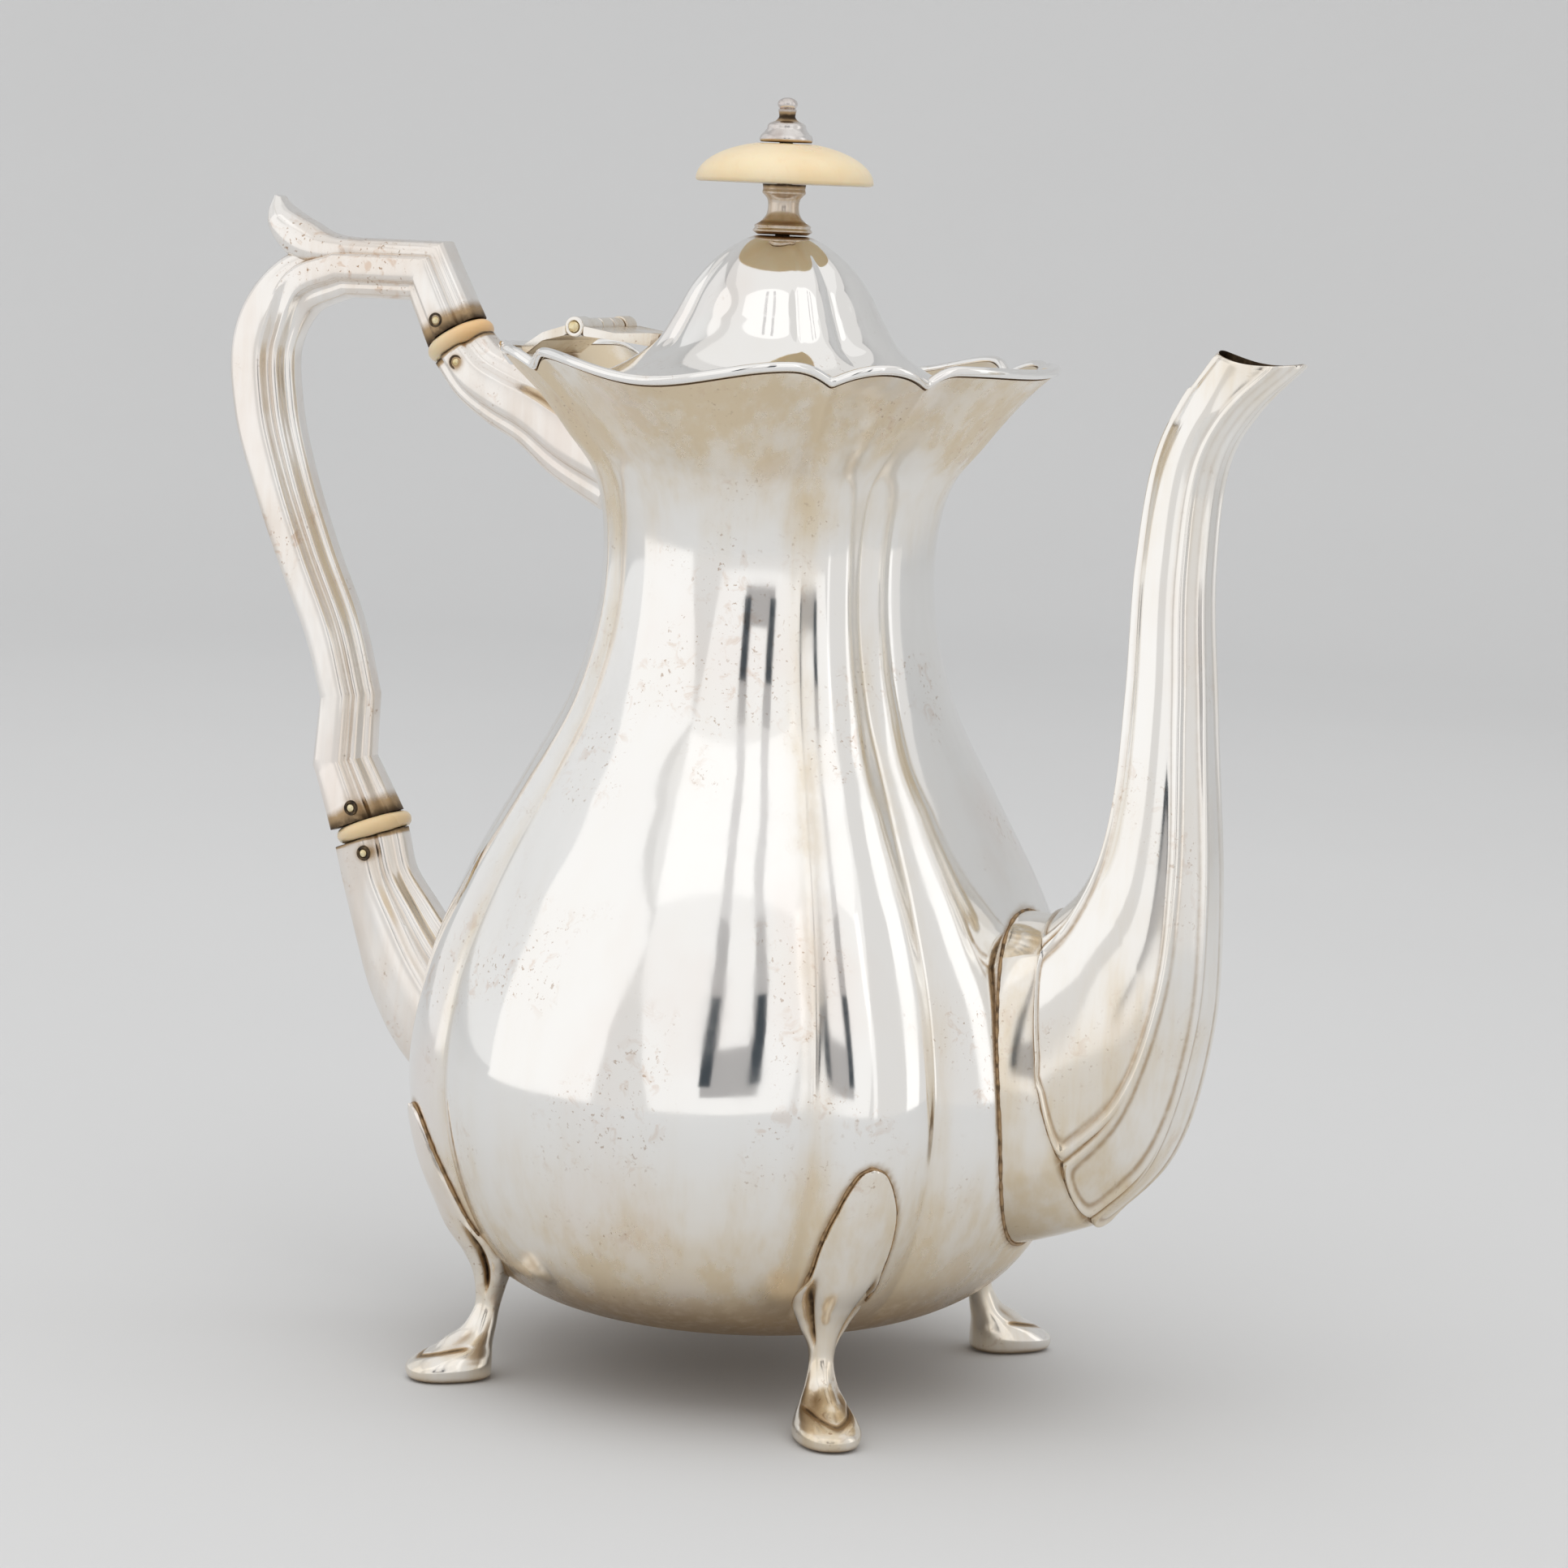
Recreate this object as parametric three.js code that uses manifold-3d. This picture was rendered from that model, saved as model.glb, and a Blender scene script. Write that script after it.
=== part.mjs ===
// Lobed silver coffee pot on four feet, with a hinged lid, a swan-neck spout and an insulated handle.
// Millimetres, +Z up, +X out along the spout and -X along the handle. Every shape is written about the
// body's centreline; the finished pot then moves along X, so that the origin is in the middle of its
// length at table level.
import * as THREE from 'three';
import Module from 'manifold-3d';

const wasm = await Module();
wasm.setup();

// ---------------------------------------------------------------- driving dimensions

const BODY_X = 7.3;             // from the middle of the pot's length to the body's centreline
const WALL = 1.2;               // sheet silver of the body and the spout
const GAP = 0.3;                // clearance between touching pieces

// The body's outline from the middle of its base up to the rim: radius, height.
const BODY_OUTLINE = [
  [0, 13], [22, 13.3], [40, 15.8], [53.5, 23.9], [62.8, 38], [67.6, 58], [64.6, 79], [57, 98], [47, 116.5],
  [38, 133.8], [33.3, 152], [33.8, 171], [39.2, 184], [46.3, 191.2], [53.8, 196],
];
const RIM_HEIGHT = 196;         // edge of the sheet at the creases
const RIM_WIRE_RADIUS = 0.9;
const RIM_CREST = 2.8;          // how far the rim rises beside each crease
const SIDE_DIP = -0.9;          // rim in the middle of the side lobes
const END_DIP = 2.2;            // rim in the middle of the spout and handle lobes

// Eight lobes: four wide ones at the spout, the handle and the sides, four narrow ones between.
const END_LOBE_HALF = 31;       // degrees, at the spout and the handle
const SIDE_LOBE_HALF = 37.5;    // degrees, at the sides

const TOE_ANGLE = 47;           // degrees from the spout and the handle
const KNEE_ANGLE = 43;
// A foot's level sections: height, radius of the centre, half length outward, half width.
const FOOT_SECTIONS = [
  [0, 59.4, 6.6, 4.4], [0.8, 59.5, 8.2, 5.7], [2.6, 59.5, 8.4, 6], [4.4, 58.4, 7.2, 5.2],
  [6.6, 55.6, 4.6, 3.6], [9.5, 53, 2.9, 2.5], [13.5, 51.9, 2.5, 2.3], [18, 51, 3.3, 3.2],
  [23, 50, 4.6, 5], [28, 52.4, 5, 6.2], [33, 56.6, 4.9, 7], [39, 60.3, 4.4, 7.2],
  [46, 62.9, 3.9, 6.2], [51, 64.4, 3.3, 4.2], [53.5, 64.9, 2.5, 1.6],
];

const SPOUT_BASE = { z: 65, halfHeight: 33, halfWidth: 22.5 };
// Stations up the spout: back x, back z, front x, front z, half width.
const SPOUT_STATIONS = [
  [64.5, 99, 75.5, 36.8, 20.5], [69.5, 104.5, 88.5, 51.5, 18], [73.2, 112, 95.4, 76, 14.5],
  [75.6, 123, 96.2, 101, 11.8], [76.8, 141, 93.4, 137, 8.8], [77.4, 165, 91.6, 165, 7.4],
  [80, 185.5, 93.6, 185.5, 7], [84.3, 196.3, 99, 194.8, 7.3], [90.2, 206, 108.6, 204, 7.2],
];
// Directions round the spout of the ridges between its panels: degrees from the back, on both sides.
const SPOUT_RIDGES = [40, 122, 158];
const SKIRT_INSET = 0.9;        // the plain skirt lies this far below the panelled spout
const STRAINER_HOLE_RADIUS = 2.4;

// The two ivory insulators: centre, direction of the joint (degrees in the XZ plane), radius, thickness.
const UPPER_INSULATOR = { x: -70.9, z: 199.6, tilt: -58, radius: 6.7, thickness: 3.6 };
const LOWER_INSULATOR = { x: -87.5, z: 99.1, tilt: -69, radius: 7.4, thickness: 3.4 };
const TENON_RADIUS = 3.5;
const TENON_LENGTH = 6.4;
const PIN_RADIUS = 0.75;
const PIN_DISTANCE = 4.8;       // from the middle of the insulator to each pin

// The grip's centreline between its two corners: x, z, half thickness.
const GRIP_CORNER_TOP = [-78.2, 213.3, 6.1];
const GRIP_CURVE = [
  [-98, 213.2, 6.1], [-109.5, 208.6, 6.6], [-115.6, 198, 6.8], [-115, 184, 6.7], [-110.6, 169.5, 6.2],
  [-104.2, 154, 5.9], [-97.2, 139, 5.8], [-93.2, 126, 5.6],
];
const GRIP_CORNER_BOTTOM = [-94, 112.4, 6];
const GRIP_HALF_WIDTH = 6;
const THUMB_SCROLL = [
  [-100, 212.8, 5.2], [-106.5, 215.8, 5], [-111.8, 219.6, 4.3], [-114.8, 223.6, 2.6], [-114.6, 227.4, 0.7],
];

// The sockets' centrelines from the insulator into the body: x, z, half thickness, half width.
const UPPER_SOCKET = [
  [-65.4, 193.4, 7, 6.6], [-60, 190.4, 7.6, 6.5], [-52, 187, 8.3, 6.3], [-43, 182, 9.8, 6.2],
  [-33, 178, 11, 6.2],
];
const LOWER_SOCKET = [
  [-84.4, 89, 7.3, 6.8], [-80, 80.5, 9, 7], [-74.5, 71.5, 11, 7.6], [-67, 63, 12.4, 8.4], [-58, 57, 13, 9],
];

// The lid: the outline of its outer face from the finial's hole to its edge.
const LID_OUTLINE = [
  [1.8, 223.3], [5.6, 223.2], [12.2, 219.4], [17.2, 214], [20.8, 207.6], [24, 202.6], [28.5, 198.6],
  [34, 195.9],
];
const LID_RADIUS = 38;
const LID_EDGE = 1;             // thickness of the lid's flat edge
const LID_WALL = 1;
const SEAT_TOP = 193.6;
const SEAT_THICKNESS = 1.2;
const SEAT_OPENING = 34.2;
const BEZEL_RADIUS = 32.4;
const BEZEL_BOTTOM = 189;
const BEZEL_WALL = 1.1;
const BEZEL_SLOPE = 0.65;       // rise of the lid's underside toward the middle, above the bezel

const HINGE = {
  x: -39,
  z: 204,
  knuckles: 5,
  knuckleLength: 4.6,
  radius: 1.75,
  endRadius: 2.05,
  pinRadius: 1,
};
const LEAF_THICKNESS = 1.1;

const CAP_UNDERSIDE = 233.4;
const CAP_TOP = 241.1;
const CAP_RADIUS = 17.25;
const STUD_RADIUS = 1.5;
const STUD_TOP = 244.6;
const STUD_BOTTOM = 217;
const TIP_BALL_RADIUS = 2.08;
const FINIAL_TOP = 250;

// ---------------------------------------------------------------- materials

const silver = (roughness) => new THREE.MeshStandardMaterial({ color: 0xc9c4ba, metalness: 1, roughness });
const ivory = new THREE.MeshStandardMaterial({ color: 0xecd9b4, metalness: 0, roughness: 0.35 });
const gilt = new THREE.MeshStandardMaterial({ color: 0xcdb27a, metalness: 1, roughness: 0.3 });

// ---------------------------------------------------------------- small helpers

const radians = THREE.MathUtils.degToRad;
const lerp = THREE.MathUtils.lerp;
const smoothstep = THREE.MathUtils.smoothstep;
const vec = (x, y, z) => new THREE.Vector3(x, y, z);

// Points of a smooth curve through hand-placed points of any dimension up to three.
function smooth(points, count) {
  const through = points.map(([x, y, z = 0]) => vec(x, y, z));
  const curve = new THREE.CatmullRomCurve3(through, false, 'centripetal');
  return curve.getPoints(count).map((p) => [p.x, p.y, p.z]);
}

// Straight-line lookup of column `to` against column `from` in a list of rows sorted by `from`.
function lookup(rows, value, from, to) {
  let i = 1;
  while (i < rows.length - 1 && rows[i][from] < value) i += 1;
  const t = (value - rows[i - 1][from]) / (rows[i][from] - rows[i - 1][from]);
  return lerp(rows[i - 1][to], rows[i][to], THREE.MathUtils.clamp(t, 0, 1));
}

function geometryOf(positions, triangles) {
  const geometry = new THREE.BufferGeometry();
  geometry.setAttribute('position', new THREE.Float32BufferAttribute(positions, 3));
  geometry.setIndex(triangles);
  return geometry;
}

// A closed skin over rings of equal length. The ends are capped, or joined to each other when `loop` is
// set.
function skin(rings, loop = false) {
  const count = rings[0].length;
  const corners = rings.flat();
  const triangles = [];
  const last = loop ? rings.length : rings.length - 1;
  for (let i = 0; i < last; i += 1) {
    const a = i * count;
    const b = ((i + 1) % rings.length) * count;
    for (let j = 0; j < count; j += 1) {
      const k = (j + 1) % count;
      triangles.push(a + j, a + k, b + k, a + j, b + k, b + j);
    }
  }
  if (!loop) {
    for (const [start, flip] of [[0, true], [(rings.length - 1) * count, false]]) {
      const end = corners.slice(start, start + count);
      const hub = corners.length;
      corners.push(end.reduce((sum, p) => sum.add(p), vec(0, 0, 0)).divideScalar(count));
      for (let j = 0; j < count; j += 1) {
        const k = (j + 1) % count;
        triangles.push(hub, start + (flip ? k : j), start + (flip ? j : k));
      }
    }
  }
  return geometryOf(corners.flatMap((p) => [p.x, p.y, p.z]), triangles);
}

// three.js geometry to a manifold, welding shared corners and turning every face outward.
function solid(geometry) {
  const position = geometry.getAttribute('position');
  const index = geometry.index ? Array.from(geometry.index.array) : [...Array(position.count).keys()];
  const corners = new Map();
  const points = [];
  const welded = Array.from({ length: position.count }, (_, i) => {
    const p = [position.getX(i), position.getY(i), position.getZ(i)];
    const key = p.map((value) => Math.round(value * 1e4)).join();
    if (!corners.has(key)) {
      corners.set(key, points.length / 3);
      points.push(...p);
    }
    return corners.get(key);
  });
  const triangles = [];
  let volume = 0;
  for (let i = 0; i < index.length; i += 3) {
    const [a, b, c] = [welded[index[i]], welded[index[i + 1]], welded[index[i + 2]]];
    if (a === b || b === c || c === a) continue;
    triangles.push(a, b, c);
    const [p, q, r] = [a, b, c].map((k) => vec(points[3 * k], points[3 * k + 1], points[3 * k + 2]));
    volume += p.dot(q.cross(r));
  }
  // Read backward, every face turns over.
  if (volume < 0) triangles.reverse();
  const mesh = new wasm.Mesh({
    numProp: 3,
    vertProperties: new Float32Array(points),
    triVerts: new Uint32Array(triangles),
  });
  return new wasm.Manifold(mesh);
}

const group = new THREE.Group();
group.position.x = BODY_X;

// Adds one named sub-part from a manifold.
function addPart(name, manifold, material) {
  const mesh = manifold.getMesh();
  const positions = [];
  for (let i = 0; i < mesh.vertProperties.length; i += mesh.numProp) {
    positions.push(...mesh.vertProperties.slice(i, i + 3));
  }
  const geometry = geometryOf(positions, Array.from(mesh.triVerts)).toNonIndexed();
  geometry.computeVertexNormals();
  const part = new THREE.Mesh(geometry, material);
  part.name = name;
  group.add(part);
}

// A cylinder between two points.
function rod(from, to, radius, sides = 16) {
  const along = to.clone().sub(from);
  const geometry = new THREE.CylinderGeometry(radius, radius, along.length(), sides);
  const turn = new THREE.Quaternion().setFromUnitVectors(vec(0, 1, 0), along.normalize());
  geometry.applyQuaternion(turn);
  const middle = from.clone().add(to).multiplyScalar(0.5);
  geometry.translate(middle.x, middle.y, middle.z);
  return solid(geometry);
}

// A solid of revolution about the centreline.
function turned(outline, sides = 32) {
  const geometry = new THREE.LatheGeometry(outline.map(([r, z]) => new THREE.Vector2(r, z)), sides);
  geometry.rotateX(Math.PI / 2);
  return solid(geometry);
}

// ---------------------------------------------------------------- the lobes

// Directions with a column on every crease.
function lobeAngles(wideSteps, narrowSteps) {
  const creases = [];
  for (const centre of [0, 90, 180, 270]) {
    const half = centre % 180 === 0 ? END_LOBE_HALF : SIDE_LOBE_HALF;
    creases.push([centre - half, centre + half]);
  }
  const angles = [];
  creases.forEach(([start, end], i) => {
    const next = i < 3 ? creases[i + 1][0] : creases[0][0] + 360;
    for (let k = 0; k < wideSteps; k += 1) angles.push(lerp(start, end, k / wideSteps));
    for (let k = 0; k < narrowSteps; k += 1) angles.push(lerp(end, next, k / narrowSteps));
  });
  return angles;
}

// Where a direction lies on its lobe: 0 at the middle of the lobe and 1 at a crease.
function lobePosition(angle) {
  const turn = ((angle % 180) + 180) % 180;
  const fromEnd = Math.min(turn, 180 - turn);
  if (fromEnd <= END_LOBE_HALF) return { wide: true, end: true, t: fromEnd / END_LOBE_HALF };
  const fromSide = 90 - fromEnd;
  if (fromSide <= SIDE_LOBE_HALF) return { wide: true, end: false, t: fromSide / SIDE_LOBE_HALF };
  const middle = (END_LOBE_HALF + 90 - SIDE_LOBE_HALF) / 2;
  return { wide: false, end: false, t: Math.abs(fromEnd - middle) / (middle - END_LOBE_HALF) };
}

// How much smaller than the outline the radius is in one direction.
function lobeFactor(angle, depth, narrowPeak = 1) {
  const { wide, t } = lobePosition(angle);
  if (wide) return 1 - depth * t ** 3;
  return narrowPeak - (narrowPeak - 1 + depth) * t ** 2;
}

function creaseDepth(z) {
  return lerp(lerp(0.045, 0.03, smoothstep(z, 40, 100)), 0.09, smoothstep(z, 160, RIM_HEIGHT));
}

function rimWave(angle) {
  const crestAt = 0.78;
  const { wide, end, t } = lobePosition(angle);
  if (!wide) return RIM_CREST * (1 - t ** 2);
  if (t > crestAt) return RIM_CREST * (1 - ((t - crestAt) / (1 - crestAt)) ** 2);
  return lerp(end ? END_DIP : SIDE_DIP, RIM_CREST, smoothstep(t, 0, crestAt));
}

// The point of the lobed body in one direction for a point of the outline.
function onBody(angle, radius, z) {
  const narrowPeak = 1 - 0.045 * smoothstep(z, 160, RIM_HEIGHT);
  const r = radius * lobeFactor(angle, creaseDepth(z) * smoothstep(z, 17, 24), narrowPeak);
  const lift = rimWave(angle) * smoothstep(z, RIM_HEIGHT - 16, RIM_HEIGHT);
  return vec(r * Math.cos(radians(angle)), r * Math.sin(radians(angle)), z + lift);
}

const bodyOutline = smooth(BODY_OUTLINE, 22);

// An outline moved along its own normals, to the right of its direction when the distance is positive.
function offset(outline, distance) {
  return outline.map(([r, z], i) => {
    const before = outline[Math.max(i - 1, 0)];
    const after = outline[Math.min(i + 1, outline.length - 1)];
    const along = new THREE.Vector2(after[0] - before[0], after[1] - before[1]).normalize();
    return [Math.max(r + distance * along.y, 0), z - distance * along.x];
  });
}

function bodyRings(outline, angles) {
  return outline.map(([r, z]) => angles.map((angle) => onBody(angle, r, z)));
}

const bodyAngles = lobeAngles(8, 4);

// The body's outside as one solid, grown by a clearance, to cut what is soldered onto it.
const bodyEnvelope = solid(skin(bodyRings(offset(bodyOutline, GAP), bodyAngles)));

// The sheet of the body, grown by a clearance on both faces.
const bodyWall = solid(skin(bodyRings(
  [...offset(bodyOutline, GAP), ...offset(bodyOutline, -WALL - GAP).reverse()], bodyAngles)));

// The space inside the body, less a clearance.
const bodyInterior = solid(skin(bodyRings(offset(bodyOutline, -WALL - GAP), bodyAngles)));

// x on the body's outer face for a y and a height, by closing in on the direction.
function bodyFace(y, z) {
  const radius = lookup(bodyOutline.slice(4), z, 1, 0);
  let x = radius;
  for (let i = 0; i < 8; i += 1) {
    const p = onBody(THREE.MathUtils.radToDeg(Math.atan2(y, x)), radius, z);
    x = Math.sqrt(p.x ** 2 + p.y ** 2 - y ** 2);
  }
  return x;
}

// ---------------------------------------------------------------- body, rim and lid seat

function bodyShell() {
  const inside = offset(bodyOutline, -WALL).reverse();
  let shell = solid(skin(bodyRings([...bodyOutline, ...inside], bodyAngles)));
  for (const [y, z] of strainerHoles()) {
    shell = shell.subtract(rod(vec(50, y, z), vec(80, y, z), STRAINER_HOLE_RADIUS, 8));
  }
  return shell;
}

// The strainer is a ring of holes round one more, pierced in the wall behind the spout.
function strainerHoles() {
  const holes = [[0, SPOUT_BASE.z]];
  for (let k = 0; k < 6; k += 1) {
    const turn = radians(60 * k + 30);
    holes.push([8.5 * Math.cos(turn), SPOUT_BASE.z + 8.5 * Math.sin(turn)]);
  }
  return holes;
}

// The wire round the rim continues the flare of the sheet past its edge.
function rimWire() {
  const [before, edge] = bodyOutline.slice(-2);
  const flare = new THREE.Vector2(edge[0] - before[0], edge[1] - before[1]).normalize();
  const reach = RIM_WIRE_RADIUS + GAP;
  const radius = edge[0] - (WALL / 2) * flare.y + reach * flare.x;
  const height = edge[1] + (WALL / 2) * flare.x + reach * flare.y;
  const rings = lobeAngles(10, 4).map((angle) => {
    const outward = vec(Math.cos(radians(angle)), Math.sin(radians(angle)), 0);
    return Array.from({ length: 6 }, (_, k) => {
      const turn = (k * Math.PI) / 3;
      return onBody(angle, radius, height)
        .addScaledVector(outward, RIM_WIRE_RADIUS * Math.cos(turn))
        .add(vec(0, 0, RIM_WIRE_RADIUS * Math.sin(turn)));
    });
  });
  return solid(skin(rings, true));
}

// The ledge inside the neck that the lid rests on.
function lidSeatRing() {
  const ring = turned([
    [SEAT_OPENING, SEAT_TOP - SEAT_THICKNESS], [50, SEAT_TOP - SEAT_THICKNESS], [50, SEAT_TOP],
    [SEAT_OPENING, SEAT_TOP], [SEAT_OPENING, SEAT_TOP - SEAT_THICKNESS],
  ], 48);
  return ring.intersect(bodyInterior);
}

// ---------------------------------------------------------------- feet

// `front` is 1 at the spout and -1 at the handle; `side` is the sign of y.
function foot(front, side) {
  const rings = FOOT_SECTIONS.map(([z, centre, halfLength, halfWidth]) => {
    const angle = radians(lerp(TOE_ANGLE, KNEE_ANGLE, Math.min(z / 45, 1)));
    const outward = vec(front * Math.cos(angle), side * Math.sin(angle), 0);
    const sideways = vec(-outward.y, outward.x, 0);
    return Array.from({ length: 14 }, (_, k) => {
      const turn = (2 * Math.PI * k) / 14;
      return vec(0, 0, z)
        .addScaledVector(outward, centre + halfLength * Math.cos(turn))
        .addScaledVector(sideways, halfWidth * Math.sin(turn));
    });
  });
  return solid(skin(rings)).subtract(bodyEnvelope);
}

// ---------------------------------------------------------------- spout

const stationCurve = (points) => new THREE.CatmullRomCurve3(points, false, 'centripetal');
// The back curve carries the half width in y.
const backCurve = stationCurve(SPOUT_STATIONS.map(([x, z, , , halfWidth]) => vec(x, halfWidth, z)));
const frontCurve = stationCurve(SPOUT_STATIONS.map(([, , x, z]) => vec(x, 0, z)));

// The directions of the panels' edges in one turn round the spout, starting at the last ridge.
const ridgeTurns = [...SPOUT_RIDGES, ...SPOUT_RIDGES.map((ridge) => 360 - ridge).reverse()].map(radians);

// How far across its panel a direction lies: 0 at the ridges and 1 in the middle of a wide panel.
function panelDip(turn) {
  const next = ridgeTurns.findIndex((ridge) => ridge >= turn - 1e-9);
  const end = next < 0 ? ridgeTurns[0] + 2 * Math.PI : ridgeTurns[next];
  const start = next <= 0 ? ridgeTurns.at(-1) - (next < 0 ? 0 : 2 * Math.PI) : ridgeTurns[next - 1];
  return (Math.sin((Math.PI * (turn - start)) / (end - start)) * (end - start)) / radians(80);
}

// A point of the spout's skin. `u` is 0 at the body, 1 at the first station and 2 at the mouth. `turn` is
// 0 at the back and pi at the front. `inset` moves the skin inward.
function spoutPoint(u, turn, inset) {
  const panel = 1 - 0.05 * panelDip(turn);
  const v = Math.max(u - 1, 0);
  const back = backCurve.getPoint(v);
  const front = frontCurve.getPoint(v);
  const middle = back.clone().add(front).multiplyScalar(0.5).setY(0);
  const half = back.clone().sub(front).multiplyScalar(0.5).setY(0);
  const grow = (half.length() * panel - inset) / half.length();
  const pinch = 1 - 0.45 * smoothstep(v, 0.85, 1) * (1 - Math.cos(turn)) / 2;
  const point = middle.addScaledVector(half, grow * Math.cos(turn));
  point.y = (back.y * panel - inset) * Math.sin(turn) * pinch;
  if (u >= 1) return point;
  const y = (SPOUT_BASE.halfWidth - inset) * Math.sin(turn);
  const z = SPOUT_BASE.z + (SPOUT_BASE.halfHeight - inset) * Math.cos(turn);
  return vec(bodyFace(y, z) + GAP * 1.5, y, z).lerp(point, u);
}

// A tube between two edges that may wander up and down the spout.
function spoutTube(startAt, endAt, rows, inset) {
  const steps = [5, 3, 4, 3, 5, 5];
  const turns = ridgeTurns.flatMap((ridge, i) => {
    const next = i < 5 ? ridgeTurns[i + 1] : ridgeTurns[0] + 2 * Math.PI;
    return Array.from({ length: steps[i] }, (_, k) => lerp(ridge, next, k / steps[i]) % (2 * Math.PI));
  });
  const face = (depth) => Array.from({ length: rows + 1 }, (_, i) => turns.map((turn) => (
    spoutPoint(lerp(startAt(turn), endAt(turn), i / rows), turn, depth))));
  return solid(skin([...face(inset), ...face(inset + WALL).reverse()], true));
}

// The spout's scalloped lower edge: each panel bows toward the body between its ridges.
const scallop = (turn) => 1.02 - 0.018 * panelDip(turn);

function spout() {
  return spoutTube(scallop, () => 2, 14, 0);
}

function spoutSkirt() {
  return spoutTube(() => 0, () => 0.97, 3, SKIRT_INSET).subtract(bodyEnvelope);
}

// ---------------------------------------------------------------- handle

// A bar along a centreline in the XZ plane. Each row is x, z, half thickness, half width. The two tilts
// give the direction of the bar (degrees) at its ends.
function bar(rows, startTilt, endTilt, sides = 12) {
  const point = ([x, z]) => new THREE.Vector2(x, z);
  const heading = (a, b) => point(b).sub(point(a)).normalize();
  const tilted = (tilt) => new THREE.Vector2(Math.cos(radians(tilt)), Math.sin(radians(tilt)));
  const rings = rows.map((row, i) => {
    const first = i === 0;
    const last = i === rows.length - 1;
    const before = first ? tilted(startTilt) : heading(rows[i - 1], row);
    const after = last ? tilted(endTilt) : heading(row, rows[i + 1]);
    const along = first ? before : last ? after : before.clone().add(after).normalize();
    const mitre = 1 / (first ? 1 : along.dot(last ? after : before));
    const across = new THREE.Vector2(-along.y, along.x);
    const [x, z, halfThickness, halfWidth] = row;
    return Array.from({ length: sides }, (_, k) => {
      const turn = (2 * Math.PI * k) / sides;
      const reach = halfThickness * mitre * Math.cos(turn);
      return vec(x + across.x * reach, halfWidth * Math.sin(turn), z + across.y * reach);
    });
  });
  return solid(skin(rings));
}

// Places round an insulator: distances along the joint's direction, toward the body when positive.
function jointPoint({ x, z, tilt }, distance, y = 0) {
  return vec(x + distance * Math.cos(radians(tilt)), y, z + distance * Math.sin(radians(tilt)));
}

function endRow(insulator, side, extra = 0) {
  const p = jointPoint(insulator, side * (insulator.thickness / 2 + GAP + extra));
  return [p.x, p.z, insulator.radius - 0.2, insulator.radius - 0.4];
}

function pinRod(insulator, side, radius, halfLength) {
  const from = jointPoint(insulator, side * PIN_DISTANCE, -halfLength);
  const to = jointPoint(insulator, side * PIN_DISTANCE, halfLength);
  return rod(from, to, radius, 12);
}

// Cuts the bore for the insulator's tenon and the hole for its pin.
function bored(piece, insulator, side) {
  const mouth = jointPoint(insulator, 0);
  const bottom = jointPoint(insulator, side * (insulator.thickness / 2 + TENON_LENGTH + GAP));
  return piece
    .subtract(rod(mouth, bottom, TENON_RADIUS + GAP, 16))
    .subtract(pinRod(insulator, side, PIN_RADIUS + GAP, 12));
}

function insulatorPiece(insulator) {
  const half = insulator.thickness / 2;
  const reach = half + TENON_LENGTH;
  const disc = rod(jointPoint(insulator, -half), jointPoint(insulator, half), insulator.radius, 28);
  const tenon = rod(jointPoint(insulator, -reach), jointPoint(insulator, reach), TENON_RADIUS, 16);
  return disc.add(tenon)
    .subtract(pinRod(insulator, -1, PIN_RADIUS + GAP, 12))
    .subtract(pinRod(insulator, 1, PIN_RADIUS + GAP, 12));
}

function handleGrip() {
  const curve = smooth(GRIP_CURVE, 18).map((row) => [...row, GRIP_HALF_WIDTH]);
  const rows = [
    endRow(UPPER_INSULATOR, -1),
    [...GRIP_CORNER_TOP, GRIP_HALF_WIDTH],
    ...curve,
    [...GRIP_CORNER_BOTTOM, GRIP_HALF_WIDTH],
    endRow(LOWER_INSULATOR, -1),
  ];
  const body = bar(rows, UPPER_INSULATOR.tilt + 180, LOWER_INSULATOR.tilt);
  const scrollRows = smooth(THUMB_SCROLL, 8).map(([x, z, t]) => [x, z, t, Math.min(t + 0.4, 5)]);
  const scroll = bar(scrollRows, 160, 80, 10);
  return bored(bored(body.add(scroll), UPPER_INSULATOR, -1), LOWER_INSULATOR, -1);
}

function handleSocket(insulator, rows) {
  const start = [endRow(insulator, 1), ...rows];
  return bored(bar(start, insulator.tilt, 0).subtract(bodyEnvelope), insulator, 1);
}

// ---------------------------------------------------------------- lid

const lidOutline = smooth(LID_OUTLINE, 11);

// The point of the lobed lid in one direction for a point of its outline. Its edge is round.
function onLid(angle, radius, z) {
  const r = radius * lobeFactor(angle, 0.07 * smoothstep(z, 197, 204) * (1 - smoothstep(z, 219, 223)));
  return vec(r * Math.cos(radians(angle)), r * Math.sin(radians(angle)), z);
}

function lidRings(outline) {
  const angles = lobeAngles(6, 2);
  return outline.map(([r, z]) => angles.map((angle) => onLid(angle, r, z)));
}

const lidUnderside = SEAT_TOP + GAP;
const lidTop = LID_OUTLINE[0][1];
const landingRadius = LID_RADIUS - 4.4;

// The lid filled in and grown by a clearance, to cut the hinge leaf that is soldered onto it.
const lidEnvelope = solid(skin(lidRings([
  [0, lidTop + GAP], ...offset(lidOutline, -GAP), [LID_RADIUS, lidUnderside + LID_EDGE + GAP],
  [LID_RADIUS, lidUnderside], [0, lidUnderside],
])));

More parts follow.
